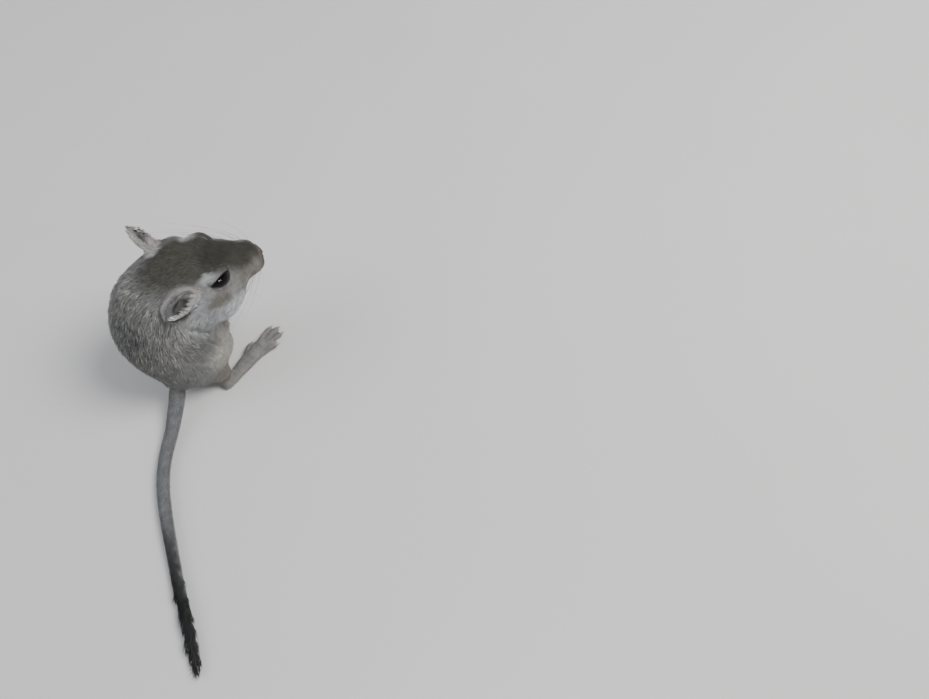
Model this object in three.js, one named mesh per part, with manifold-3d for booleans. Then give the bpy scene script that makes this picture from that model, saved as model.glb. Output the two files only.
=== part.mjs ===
import * as THREE from 'three'
import * as BufferGeometryUtils from 'three/addons/utils/BufferGeometryUtils.js'
import Module from 'manifold-3d'

// A young gerbil that sits up on its haunches, life size, in millimetres.
// It faces -Y with its left side at +X. Places are written as (ahead, left, up),
// counted from the point on the floor under the root of the tail.

const gap = 0.3

// Edges shorter than this, left by the cuts, are closed up
const slack = 0.03

// Turn of the head, in degrees, about a point midway between the ears and the eyes
const headTurnRight = 27.4
const headNod = 9.8
const headTilt = 9.6
const headAt = [30.3, 0.6, 36.3]

// Grid steps of the surfaces
const trunkStep = 2.8
const headStep = 1.9
const faceStep = 1.3

// Trunk: each mass has a place, its half sizes (ahead, left, up) and the reach of its blend
const trunkMasses = [
  { at: [10, 4, 12], half: [10.2, 10.8, 12.3], blend: 0 },
  { at: [11.6, 6, 21.4], half: [12.8, 12.6, 11.8], blend: 5 },
  { at: [12.6, 7.2, 28.2], half: [12.5, 13.4, 12], blend: 5 },
  { at: [17.2, 6.3, 35.7], half: [12, 12, 10.4], blend: 5 },
  { at: [18.2, 4.5, 21.7], half: [8.8, 9.8, 11.3], blend: 5 },
  { at: [14.9, 4.8, 15.1], half: [10.3, 10.5, 13.1], blend: 5 },
  { at: [20.5, 6, 16.5], half: [8.5, 9.5, 11], blend: 5 },
]

// Haunches: thigh, knee and ankle. Their middle line lies left of the feet's,
// since the body leans over its left foot
const haunchMasses = [
  { at: [12.4, 9.6, 14.2], half: [9.2, 5.4, 10], blend: 4 },
  { at: [18.2, 9.5, 13], half: [5.4, 4.4, 6.2], blend: 3 },
]
const ankleMass = { at: [12.6, 13.2, 4.6], half: [3.4, 2.5, 3.6], blend: 3 }
const haunchMiddle = 5.2
const footMiddle = 4.6

// Head, in its own axes
const headMasses = [
  { at: [-6.79, 0, 0.52], half: [10.97, 11.49, 10.24], blend: 4 },
  { at: [2.09, 0, -1.25], half: [10.45, 8.99, 8.57], blend: 4 },
  { at: [-0.52, 5.43, -5.02], half: [9.4, 7.52, 6.69], blend: 4, pair: true },
  { at: [-4.2, 6.8, 3.9], half: [5.6, 4.3, 4], blend: 3 },
  { at: [10.6, 0.2, -2.7], half: [7.1, 5.3, 5.3], blend: 4 },
  { at: [13.2, 3.3, -2.2], half: [3.8, 2.9, 3.2], blend: 1.5 },
  { at: [13.9, -2.3, -3], half: [3.9, 2.9, 3.2], blend: 1.5 },
  { at: [13.3, 0.5, 0.1], half: [3.8, 3.4, 1.8], blend: 1.5 },
  { at: [9.4, 0, -7.94], half: [5.22, 2.93, 2.51], blend: 2 },
]

// Eyes
const eyeAt = [1.78, 5.43, 4.65]
const eyeRadius = 3.5
const eyeLooks = [0.33, 0.85, 0.42]
const lidAt = [1.88, 5.75, 4.81]
const lidHalf = [4.7, 4.13, 4.13]
const eyeOpening = { length: 6.69, above: 2.4, below: 2.19 }

// Nose
const noseAt = [16.8, 0.3, -1.7]
const noseHalf = [1.4, 2.1, 1.5]
const nostril = { at: [17.7, 1.35, -1.8], half: [0.94, 0.42, 0.52] }

// Line of the mouth, from the cleft under the nose back along one lip
const mouthRoute = [
  [17.3, 0, -4.2], [16.2, 0.1, -6.1], [14.2, 1.67, -7.4], [11.49, 3.55, -7.7], [8.78, 5.22, -7.2],
]
const mouthLineRadius = 0.4

// Ears: each a cup that leans back from its root, the right one folded further back
const ears = {
  left: {
    root: [-9, 7.3, 5.9], reach: [-4.81, 7.21, 4.18], opens: [0.7, 0.1, 0.68], long: 5.85, wide: 3.1,
  },
  right: {
    root: [-7.31, -9.2, 6.79], reach: [-7.73, -3.34, -1.88], opens: [0.1, -0.55, 0.8], long: 5.54, wide: 3.24,
  },
}
const earDeep = 2.09
const earWall = 0.75
const earHollowShift = 1.46

// Hind feet
const footTurn = { left: 16, right: 0 }
const footHeel = [11.4, 13.8, 1.25]
const footMid = [19, 14.5, 1.4]
const footBall = [27.5, 15.2, 1.4]
const toes = [
  { angle: 22, root: [25.4, 16.8, 1.4], length: 5 },
  { angle: 11, root: [27.6, 16.4, 1.4], length: 6.6 },
  { angle: 3, root: [28, 15.2, 1.4], length: 7.2 },
  { angle: -5, root: [27.6, 14, 1.4], length: 6.4 },
  { angle: -18, root: [22.4, 13, 1.4], length: 4 },
]
const toeRadii = [1.05, 0.95, 0.85]
const toeDip = 0.45
const knuckleShare = 0.55
const knuckleRise = 0.25
const clawLength = 1.9
const clawHeight = 0.45
const clawRadii = [0.42, 0.16]
const soleRadii = [1.9, 2.1, 2.5, 2.6]
const soleFlatness = 0.72

// Forelegs, held up under the chin
const foreMiddle = 4.4
const foreShoulder = [19.5, 6.2, 25]
const foreElbow = [22.6, 7.6, 16.6]
const foreWrist = [30, 4.4, 18.6]
const foreRadius = { shoulder: 4.4, elbow: 2.9, wrist: 1.75 }
const foreBlend = 1.5
const forelegStep = 1.9
const foreMiddlePlace = [24.5, 6, 20]
const forelegBox = [[-9, 9], [-11.5, 12.5], [-9.5, 13.3]]
const forePaw = [32.6, 3.3, 20.4]
const palmRadii = [1.5, 2]
const palmFlatness = 0.75
const fingers = [
  { spread: 26, length: 2.6, aside: 1.5 },
  { spread: 9, length: 3.2, aside: 0.5 },
  { spread: -8, length: 3.2, aside: -0.5 },
  { spread: -25, length: 2.7, aside: -1.5 },
]
const fingerRadii = [0.72, 0.62]
const fingerRise = 0.6
const fingerAhead = 0.8
const fingerDroop = 0.35
const foreClaw = { ahead: 0.9, down: 1.2, radii: [0.38, 0.15] }

// Tail: the middle of the tail along the floor, root to tip, and its thickness
const tailRoute = [
  [4, 1.2, 9], [-2.2, -1.3, 5.2], [-10.2, -4.9, 2.5], [-17.7, -8.4, 1.9], [-24.8, -13.5, 1.9],
  [-31.1, -19.9, 1.85], [-37.4, -27.3, 1.75], [-43.6, -34.7, 1.55], [-49.6, -42.5, 1.35], [-54.2, -48.4, 1.05],
  [-57.4, -52.4, 0.6],
]
const tailRadius = [2.9, 2.5, 2.2, 2.05, 2, 1.95, 1.85, 1.65, 1.45, 1.15, 0.65]
const tailParts = [0, 0.33, 0.66, 1]
const tailLength = 85

// Tuft: flat tapered locks over the top and sides of the end of the tail, the last ones past its tip
const tuft = {
  locks: 18, from: 0.7, to: 0.985, rows: 3, shortest: 3.4, longest: 5.6, width: 1.25, thickness: 0.55,
  lift: 0.4, spread: 62, strayAlong: 0.6, strayAside: 0.7, uneven: 0.3,
}
// Along a lock: how far along it, how far out from the middle of the tail as a share of its radius
// and of the lift, and its width and thickness as shares of the full ones
const lockStations = [
  { reach: -0.1, height: 0.35, lift: 0, wide: 0.7, thick: 1 },
  { reach: 0.3, height: 0.95, lift: 0, wide: 1, thick: 1 },
  { reach: 0.65, height: 1, lift: 0.5, wide: 0.72, thick: 0.8 },
  { reach: 1, height: 0.75, lift: 0.5, wide: 0.15, thick: 0.3 },
]
const lockCorners = [[-1, -1], [1, -1], [1, 1], [-1, 1]]
const tuftSeed = 11

const wasm = await Module()
wasm.setup()

const degrees = Math.PI / 180

function place([ahead, left, up]) {
  return new THREE.Vector3(left, -ahead, up)
}

function mirrored([ahead, left, up], side) {
  return [ahead, left * side, up]
}

const headRotation = new THREE.Euler(headNod * degrees, -headTilt * degrees, -headTurnRight * degrees, 'ZXY')
const headFrame = new THREE.Matrix4().makeRotationFromEuler(headRotation).setPosition(place(headAt))
const headFrameBack = headFrame.clone().invert()

// Near-distance to an ellipsoid, negative inside
function ellipsoidField(mass) {
  const centre = place(mass.at)
  const [halfAhead, halfLeft, halfUp] = mass.half
  return (x, y, z) => {
    const px = (x - centre.x) / halfLeft
    const py = (y - centre.y) / halfAhead
    const pz = (z - centre.z) / halfUp
    const stretch = Math.hypot(px, py, pz)
    const slope = Math.hypot(px / halfLeft, py / halfAhead, pz / halfUp)
    return slope < 1e-9 ? -Math.min(...mass.half) : stretch * (stretch - 1) / slope
  }
}

function blendFields(a, b, reach) {
  if (reach === 0) return Math.min(a, b)
  const overlap = Math.max(reach - Math.abs(a - b), 0) / reach
  return Math.min(a, b) - overlap * overlap * reach / 4
}

function bothSides(masses) {
  const pairs = masses.filter((mass) => mass.pair)
  return masses.concat(pairs.map((mass) => ({ ...mass, at: mirrored(mass.at, -1) })))
}

const lidMass = { at: lidAt, half: lidHalf, blend: 2.4, pair: true }
const headFields = bothSides([...headMasses, lidMass]).map((mass) => [ellipsoidField(mass), mass.blend])
const acrossFrom = (middle, side) => ({ at: [ahead, left, up], ...mass }) => (
  { ...mass, at: [ahead, middle + left * side, up] })
const haunchSides = [1, -1].flatMap((side) => [
  ...haunchMasses.map(acrossFrom(haunchMiddle, side)),
  acrossFrom(footMiddle, side)(ankleMass),
])
const trunkFields = [...trunkMasses, ...haunchSides].map((mass) => [ellipsoidField(mass), mass.blend])

function headField(x, y, z) {
  const [a, b, c, d, e, f, g, h, i, j, k, l] = headFrameBack.elements.filter((_, n) => n % 4 !== 3)
  const u = a * x + d * y + g * z + j
  const v = b * x + e * y + h * z + k
  const w = c * x + f * y + i * z + l
  return headFields.reduce((sum, [field, reach]) => blendFields(sum, field(u, v, w), reach), 1e3)
}

function trunkField(x, y, z) {
  return trunkFields.reduce((sum, [field, reach]) => blendFields(sum, field(x, y, z), reach), 1e3)
}

const neckBlend = 4
function wholeField(x, y, z) {
  return blendFields(trunkField(x, y, z), headField(x, y, z), neckBlend)
}

function steps(from, to, step) {
  const count = Math.ceil((to - from) / step)
  return Array.from({ length: count + 1 }, (_, i) => from + i * (to - from) / count)
}

// A closed surface where the field is zero, on a grid whose lines may be unevenly spaced
function surfaceOf(field, xs, ys, zs) {
  const [nx, ny, nz] = [xs.length, ys.length, zs.length]
  const nodeAt = (i, j, k) => (k * ny + j) * nx + i
  const values = new Float64Array(nx * ny * nz)
  zs.forEach((z, k) => ys.forEach((y, j) => xs.forEach((x, i) => {
    values[nodeAt(i, j, k)] = field(x, y, z)
  })))
  untangle(values, nx, ny, nz)
  const corners = [[0, 0, 0], [1, 0, 0], [0, 1, 0], [1, 1, 0], [0, 0, 1], [1, 0, 1], [0, 1, 1], [1, 1, 1]]
  const edges = [[0, 1], [2, 3], [4, 5], [6, 7], [0, 2], [1, 3], [4, 6], [5, 7], [0, 4], [1, 5], [2, 6], [3, 7]]
  const cellVertex = new Map()
  const positions = []
  for (let k = 0; k < nz - 1; k++) {
    for (let j = 0; j < ny - 1; j++) {
      for (let i = 0; i < nx - 1; i++) {
        const signs = corners.map(([a, b, c]) => values[nodeAt(i + a, j + b, k + c)])
        const sum = new THREE.Vector3()
        let crossings = 0
        for (const [from, to] of edges) {
          if ((signs[from] < 0) === (signs[to] < 0)) continue
          const t = signs[from] / (signs[from] - signs[to])
          const [a, b] = [corners[from], corners[to]]
          sum.x += THREE.MathUtils.lerp(xs[i + a[0]], xs[i + b[0]], t)
          sum.y += THREE.MathUtils.lerp(ys[j + a[1]], ys[j + b[1]], t)
          sum.z += THREE.MathUtils.lerp(zs[k + a[2]], zs[k + b[2]], t)
          crossings += 1
        }
        if (crossings === 0) continue
        cellVertex.set(nodeAt(i, j, k), positions.length / 3)
        const vertex = settle(field, sum.divideScalar(crossings), (xs[i + 1] - xs[i]) * 0.4)
        positions.push(vertex.x, vertex.y, vertex.z)
      }
    }
  }
  const index = []
  const vertexAt = (n) => new THREE.Vector3().fromArray(positions, 3 * n)
  const addQuad = (a, b, c, d, flip) => {
    const shortAC = vertexAt(a).distanceTo(vertexAt(c)) < vertexAt(b).distanceTo(vertexAt(d))
    const faces = shortAC ? [[a, b, c], [a, c, d]] : [[a, b, d], [b, c, d]]
    faces.forEach((face) => index.push(...(flip ? face.reverse() : face)))
  }
  for (let k = 1; k < nz - 1; k++) {
    for (let j = 1; j < ny - 1; j++) {
      for (let i = 1; i < nx - 1; i++) {
        const here = values[nodeAt(i, j, k)] < 0
        const cell = (a, b, c) => cellVertex.get(nodeAt(i - a, j - b, k - c))
        if (here !== values[nodeAt(i + 1, j, k)] < 0) {
          addQuad(cell(0, 1, 1), cell(0, 0, 1), cell(0, 0, 0), cell(0, 1, 0), !here)
        }
        if (here !== values[nodeAt(i, j + 1, k)] < 0) {
          addQuad(cell(1, 0, 1), cell(1, 0, 0), cell(0, 0, 0), cell(0, 0, 1), !here)
        }
        if (here !== values[nodeAt(i, j, k + 1)] < 0) {
          addQuad(cell(1, 1, 0), cell(0, 1, 0), cell(0, 0, 0), cell(1, 0, 0), !here)
        }
      }
    }
  }
  const geometry = new THREE.BufferGeometry()
  geometry.setAttribute('position', new THREE.Float32BufferAttribute(positions, 3))
  geometry.setIndex(index)
  return geometry
}

// Flips the weakest corner of each grid square whose signs alternate, where surfaces would touch
function untangle(values, nx, ny, nz) {
  const strides = [1, nx, nx * ny]
  const squares = [[0, 1], [0, 2], [1, 2]].map(([a, b]) => [strides[a], strides[b]])
  for (let round = 0; round < 3; round++) {
    for (let n = 0; n < values.length - strides[1] - strides[2] - 1; n++) {
      for (const [a, b] of squares) {
        const square = [n, n + a, n + a + b, n + b]
        const inside = square.map((m) => values[m] < 0)
        if (inside[0] === inside[1] || inside[0] !== inside[2] || inside[1] !== inside[3]) continue
        const weakest = square.reduce((m, other) => (Math.abs(values[other]) < Math.abs(values[m]) ? other : m))
        values[weakest] = -values[weakest] || 1e-6
      }
    }
  }
}

// Moves a vertex on to the surface, by at most the reach
function settle(field, point, reach) {
  const start = point.clone()
  const probe = 0.02
  for (let round = 0; round < 3; round++) {
    const { x, y, z } = point
    const value = field(x, y, z)
    const slope = new THREE.Vector3(
      field(x + probe, y, z) - value,
      field(x, y + probe, z) - value,
      field(x, y, z + probe) - value,
    ).divideScalar(probe)
    point.addScaledVector(slope, -value / Math.max(slope.lengthSq(), 0.2))
  }
  const moved = point.clone().sub(start)
  return start.add(moved.clampLength(0, reach))
}

function solid(geometry) {
  const bare = geometry.clone()
  const others = Object.keys(bare.attributes).filter((name) => name !== 'position')
  others.forEach((name) => bare.deleteAttribute(name))
  const merged = BufferGeometryUtils.mergeVertices(bare, 1e-5)
  const vertProperties = new Float32Array(merged.attributes.position.array)
  const triVerts = new Uint32Array(merged.index.array)
  return new wasm.Manifold(new wasm.Mesh({ numProp: 3, vertProperties, triVerts }))
}

// The largest closed surface of a solid, as a geometry
function geometryOf(shape) {
  const pieces = shape.simplify(slack).decompose()
  const largest = pieces.reduce((best, piece) => (piece.volume() > best.volume() ? piece : best))
  const { vertProperties, triVerts } = largest.getMesh()
  const geometry = new THREE.BufferGeometry()
  geometry.setAttribute('position', new THREE.BufferAttribute(new Float32Array(vertProperties), 3))
  geometry.setIndex(new THREE.BufferAttribute(new Uint32Array(triVerts), 1))
  return geometry
}

function join(shapes) {
  return shapes.reduce((sum, shape) => sum.add(shape))
}

// A closed tapered tube through points, with round or flat ends
function limb({ points, radii, flatness = 1, sides = 10, rings = 8, grow = 0, ends = 'round', from = 0, to = 1 }) {
  const curve = new THREE.CatmullRomCurve3(points.map(place), false, 'centripetal')
  const up = new THREE.Vector3(0, 0, 1)
  const positions = []
  const index = []
  const frameAt = (t) => {
    const along = curve.getTangent(t)
    const across = new THREE.Vector3().crossVectors(along, up)
    if (across.length() < 0.2) across.set(1, 0, 0)
    across.normalize()
    return { middle: curve.getPoint(t), along, across, top: new THREE.Vector3().crossVectors(across, along) }
  }
  const radiusAt = (t) => {
    const s = t * (radii.length - 1)
    const n = Math.min(Math.floor(s), radii.length - 2)
    return THREE.MathUtils.lerp(radii[n], radii[n + 1], s - n) + grow
  }
  const addRing = (t, shift, scale) => {
    const { middle, along, across, top } = frameAt(t)
    for (let n = 0; n < sides; n++) {
      const angle = 2 * Math.PI * (n + 0.5) / sides
      const radius = radiusAt(t) * scale
      const point = middle.clone().addScaledVector(along, shift)
      point.addScaledVector(across, radius * Math.cos(angle))
      point.addScaledVector(top, radius * flatness * Math.sin(angle))
      positions.push(point.x, point.y, point.z)
    }
  }
  const roundEnds = ends === 'round'
  if (roundEnds) addRing(from, -0.62 * radiusAt(from), 0.75)
  for (let n = 0; n <= rings; n++) addRing(from + (to - from) * n / rings, 0, 1)
  if (roundEnds) addRing(to, 0.62 * radiusAt(to), 0.75)
  const ringCount = positions.length / 3 / sides
  for (let ring = 0; ring < ringCount - 1; ring++) {
    for (let n = 0; n < sides; n++) {
      const [a, b] = [ring * sides + n, ring * sides + (n + 1) % sides]
      index.push(a, a + sides, b, b, a + sides, b + sides)
    }
  }
  const addPole = (t, shift, ring, flip) => {
    const { middle, along } = frameAt(t)
    const pole = positions.length / 3
    const point = middle.addScaledVector(along, shift)
    positions.push(point.x, point.y, point.z)
    for (let n = 0; n < sides; n++) {
      const [a, b] = [ring * sides + n, ring * sides + (n + 1) % sides]
      index.push(...(flip ? [b, a, pole] : [a, b, pole]))
    }
  }
  addPole(from, roundEnds ? -radiusAt(from) : 0, 0, false)
  addPole(to, roundEnds ? radiusAt(to) : 0, ringCount - 1, true)
  const geometry = new THREE.BufferGeometry()
  geometry.setAttribute('position', new THREE.Float32BufferAttribute(positions, 3))
  geometry.setIndex(index)
  return solid(geometry)
}

function boxSolid(from, to) {
  const [low, high] = [place(from), place(to)]
  const box = new THREE.Box3().setFromPoints([low, high])
  const size = box.getSize(new THREE.Vector3())
  const middle = box.getCenter(new THREE.Vector3())
  return solid(new THREE.BoxGeometry(size.x, size.y, size.z).translate(middle.x, middle.y, middle.z))
}

function ballSolid(at, [halfAhead, halfLeft, halfUp], detail, frame = new THREE.Matrix4()) {
  const { x, y, z } = place(at)
  const ball = new THREE.IcosahedronGeometry(1, detail).scale(halfLeft, halfAhead, halfUp).translate(x, y, z)
  return solid(ball.applyMatrix4(frame))
}

const floorBlock = boxSolid([-200, -200, -50], [200, 200, 0])

// The part of space that belongs to the head, in the head's axes: ahead of a slanted plane
// behind the ears and above a plane under the chin
const headBack = 12.5
const headBelow = 11.9
const headSlant = 28 * degrees

function headSpace(margin) {
  const back = headBack + margin / Math.cos(headSlant)
  const below = headBelow + margin
  const slant = Math.tan(headSlant)
  const outline = new THREE.Shape([
    new THREE.Vector2(-back + below * slant, -below),
    new THREE.Vector2(40, -below),
    new THREE.Vector2(40, 30),
    new THREE.Vector2(-back - 30 * slant, 30),
  ])
  const slab = new THREE.ExtrudeGeometry(outline, { depth: 80, bevelEnabled: false }).translate(0, 0, -40)
  const toAxes = new THREE.Matrix4().makeBasis(
    new THREE.Vector3(0, -1, 0), new THREE.Vector3(0, 0, 1), new THREE.Vector3(-1, 0, 0))
  return solid(slab.applyMatrix4(toAxes).applyMatrix4(headFrame))
}

// The part of space above the plane between the shoulders and the neck
function neckSpace(margin) {
  const at = place([17.5, 4.5, 31.5])
  const normal = place([0.6, -0.1, 0.8]).normalize()
  const block = new THREE.BoxGeometry(90, 90, 60).translate(0, 0, 30 - margin)
  const turn = new THREE.Quaternion().setFromUnitVectors(new THREE.Vector3(0, 0, 1), normal)
  return solid(block.applyQuaternion(turn).translate(at.x, at.y, at.z))
}

function haunchSpace(side, margin) {
  const half = [13.6, 7.4, 13].map((size) => size + margin)
  return ballSolid([14.4, haunchMiddle + side * 12.2, 11.5], half, 5)
}

function eyeSocket(side) {
  return ballSolid(mirrored(eyeAt, side), Array(3).fill(eyeRadius + gap), 4, headFrame)
}

// An almond cut through the lids, as long as the eye and pointed at both corners
function eyeOpeningSolid(side) {
  const { length, above, below } = eyeOpening
  const almond = new THREE.Shape().moveTo(-length / 2, 0)
  almond.quadraticCurveTo(0, above * 2, length / 2, 0)
  almond.quadraticCurveTo(0, -below * 2, -length / 2, 0)
  const cut = new THREE.ExtrudeGeometry(almond, { depth: 6, bevelEnabled: false, curveSegments: 8 })
  const looks = place(mirrored(eyeLooks, side)).normalize()
  const along = new THREE.Vector3(0, -1, 0).addScaledVector(looks, looks.y).normalize()
  const top = new THREE.Vector3().crossVectors(looks, along)
  const axes = new THREE.Matrix4().makeBasis(along, top, looks)
  if (top.z < 0) axes.makeBasis(along.negate(), top.negate(), looks)
  axes.setPosition(place(mirrored(eyeAt, side)))
  return solid(cut.applyMatrix4(axes).applyMatrix4(headFrame))
}

// A groove along the mouth, laid on the surface of the head
function mouthLine(side) {
  const onHead = (x, y, z) => headFields.reduce(
    (sum, [field, reach]) => blendFields(sum, field(x, y, z), reach), 1e3)
  const route = mouthRoute.map((at) => settle(onHead, place(mirrored(at, side)), 4))
  const back = ({ x, y, z }) => [-y, x, z]
  const radii = [mouthLineRadius, mouthLineRadius, mouthLineRadius * 0.6]
  const groove = limb({ points: route.map(back), radii, sides: 6, rings: 9, ends: 'flat' })
  return groove.transform(headFrame.elements)
}

// The cup of an ear, cut off just above the head
function earSolid({ root, reach, opens, long, wide }) {
  const along = place(reach)
  const length = along.length()
  along.normalize()
  const facing = place(opens)
  facing.addScaledVector(along, -facing.dot(along)).normalize()
  const across = new THREE.Vector3().crossVectors(facing, along)
  const axes = new THREE.Matrix4().makeBasis(across, facing, along)
  const middle = place(root).addScaledVector(along, length - long)
  axes.setPosition(middle)
  const shell = (wall, shift) => {
    const cup = new THREE.IcosahedronGeometry(1, 3)
    cup.scale(wide - wall, earDeep - wall * 0.3, long - wall)
    return solid(cup.translate(0, shift, 0).applyMatrix4(axes).applyMatrix4(headFrame))
  }
  const around = middle.clone().applyMatrix4(headFrame)
  const nearHead = (x, y, z) => {
    const box = Math.max(Math.abs(x - around.x), Math.abs(y - around.y), Math.abs(z - around.z)) - 9
    return Math.max(wholeField(x, y, z) - gap, box)
  }
  const grid = around.toArray().map((centre) => steps(centre - 11, centre + 11, headStep))
  return shell(0, 0).subtract(shell(earWall, earHollowShift)).subtract(solid(surfaceOf(nearHead, ...grid)))
}

// Whole body
const trunkOverlap = 2
const trunkEdge = (x, y, z) => {
  const { y: behind, z: above } = new THREE.Vector3(x, y, z).applyMatrix4(headFrameBack)
  const pastBack = (headBack - behind) * Math.cos(headSlant) + above * Math.sin(headSlant)
  return Math.max(wholeField(x, y, z), Math.min(pastBack, above + headBelow) - trunkOverlap)
}
const trunkWhole = solid(surfaceOf(
  trunkEdge, steps(-22, 36, trunkStep), steps(-46, 16, trunkStep), steps(-6, 58, trunkStep)))
const headEdge = { x: 13.6, back: 20.4, front: 21.4, low: 14.6, high: 12.5 }
const headWhole = (x, y, z) => {
  const point = new THREE.Vector3(x, y, z).applyMatrix4(headFrame)
  const { back, front, low, high } = headEdge
  const edge = Math.max(Math.abs(x) - headEdge.x, -front - y, y - back, -low - z, z - high)
  return Math.max(wholeField(point.x, point.y, point.z), edge)
}
const headGrid = [
  steps(-16, 16, headStep),
  [...steps(-24, 2, faceStep), ...steps(3.4, 24, headStep)],
  steps(-17, 15, headStep),
]
const headSurface = surfaceOf(headWhole, ...headGrid).applyMatrix4(headFrame)

const coat = { color: 0x8b8478, roughness: 0.95 }
const bareSkin = { color: 0x9a827a, roughness: 0.7 }
const palePaw = { color: 0xb3aca4, roughness: 0.85 }
const darkEye = { color: 0x0b0a0a, roughness: 0.08 }

const group = new THREE.Group()

function addNode(name, shape, { color, roughness }) {
  const material = new THREE.MeshStandardMaterial({ color, roughness, metalness: 0 })
  const mesh = new THREE.Mesh(geometryOf(shape), material)
  mesh.name = name
  group.add(mesh)
}

function tailPiece(from, to, grow = 0) {
  const radii = tailRadius
  const rings = Math.max(4, Math.round((to - from) * 34))
  return limb({ points: tailRoute, radii, sides: 10, rings, grow, ends: 'flat', from, to }).subtract(floorBlock)
}

// A repeatable row of numbers from 0 to 1
function drawFrom(seed) {
  let state = seed
  return () => {
    state = (state * 1664525 + 1013904223) % 4294967296
    return state / 4294967296
  }
}

// One lock of the tuft, from inside the tail at a place along it, leaning off to one side by an angle
function lockSolid(at, angle, length) {
  const curve = new THREE.CatmullRomCurve3(tailRoute.map(place), false, 'centripetal')
  const along = curve.getTangent(at)
  const across = new THREE.Vector3().crossVectors(along, new THREE.Vector3(0, 0, 1)).normalize()
  const top = new THREE.Vector3().crossVectors(across, along)
  const out = top.clone().multiplyScalar(Math.cos(angle)).addScaledVector(across, Math.sin(angle))
  const aside = new THREE.Vector3().crossVectors(out, along)
  const step = at * (tailRadius.length - 1)
  const below = Math.min(Math.floor(step), tailRadius.length - 2)
  const radius = THREE.MathUtils.lerp(tailRadius[below], tailRadius[below + 1], step - below)
  const positions = lockStations.flatMap(({ reach, height, lift, wide, thick }) => {
    const middle = curve.getPoint(at).addScaledVector(along, reach * length)
    middle.addScaledVector(out, radius * height + tuft.lift * lift)
    return lockCorners.flatMap(([a, b]) => middle.clone()
      .addScaledVector(aside, a * wide * tuft.width / 2)
      .addScaledVector(out, b * thick * tuft.thickness / 2)
      .toArray())
  })
  const index = [0, 2, 1, 0, 3, 2]
  const sides = lockCorners.length
  for (let ring = 0; ring < lockStations.length - 1; ring++) {
    for (let n = 0; n < sides; n++) {
      const [a, b] = [ring * sides + n, ring * sides + (n + 1) % sides]
      index.push(a, b, a + sides, b, b + sides, a + sides)
    }
  }
  const last = (lockStations.length - 1) * sides
  index.push(last, last + 1, last + 2, last, last + 2, last + 3)
  const geometry = new THREE.BufferGeometry()
  geometry.setAttribute('position', new THREE.Float32BufferAttribute(positions, 3))
  geometry.setIndex(index)
  return solid(geometry)
}

function tuftedTip(from) {
  const draw = drawFrom(tuftSeed)
  const locks = Array.from({ length: tuft.locks }, (_, n) => {
    const share = (n + draw() * tuft.strayAlong) / tuft.locks
    const at = THREE.MathUtils.lerp(tuft.from, tuft.to, share)
    const angle = ((n % tuft.rows) - 1 + (draw() - 0.5) * tuft.strayAside) * tuft.spread * degrees
    const length = THREE.MathUtils.lerp(tuft.shortest, tuft.longest, share)
    return lockSolid(at, angle, length * (1 + tuft.uneven * (draw() - 0.5)))
  })
  return join([tailPiece(from, 1), ...locks]).subtract(floorBlock)
}

function armSide([ahead, left, up], side) {
  return [ahead, foreMiddle + left * side, up]
}

// Near-distance to a rod that tapers from one ball to another
function rodField(from, to, fromRadius, toRadius) {
  const start = place(from)
  const way = place(to).sub(start)
  return (x, y, z) => {
    const reached = new THREE.Vector3(x, y, z).sub(start)
    const t = THREE.MathUtils.clamp(reached.dot(way) / way.lengthSq(), 0, 1)
    return reached.addScaledVector(way, -t).length() - THREE.MathUtils.lerp(fromRadius, toRadius, t)
  }
}

function foreleg(side, grow = 0) {
  const [shoulder, elbow, wrist] = [foreShoulder, foreElbow, foreWrist].map((at) => armSide(at, side))
  const upper = rodField(shoulder, elbow, foreRadius.shoulder, foreRadius.elbow)
  const lower = rodField(elbow, wrist, foreRadius.elbow, foreRadius.wrist)
  const field = (x, y, z) => blendFields(upper(x, y, z), lower(x, y, z), foreBlend) - grow
  const middle = place(armSide(foreMiddlePlace, side)).toArray()
  const grid = forelegBox.map(([low, high], n) => steps(middle[n] + low, middle[n] + high, forelegStep))
  return solid(surfaceOf(field, ...grid))
}

function forepaw(side, grow = 0) {
  const points = [foreWrist, forePaw].map((at) => armSide(at, side))
  const palm = limb({ points, radii: palmRadii, flatness: palmFlatness, sides: 8, rings: 2, grow })
  const [ahead, middle, up] = armSide(forePaw, side)
  const digits = fingers.map(({ spread, length, aside }) => {
    const turn = spread * degrees * side
    const left = middle + aside
    const root = [ahead, left, up + fingerRise]
    const tip = [
      ahead + length * Math.cos(turn) * fingerAhead, left + length * Math.sin(turn), up - length * fingerDroop]
    const digit = limb({ points: [root, tip], radii: fingerRadii, sides: 6, rings: 1, grow })
    const end = [tip[0] + foreClaw.ahead, tip[1] + Math.sin(turn), tip[2] - foreClaw.down]
    const claw = limb({ points: [tip, end], radii: foreClaw.radii, sides: 4, rings: 1, grow, ends: 'flat' })
    return digit.add(claw)
  })
  return join([palm, ...digits])
}

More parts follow.
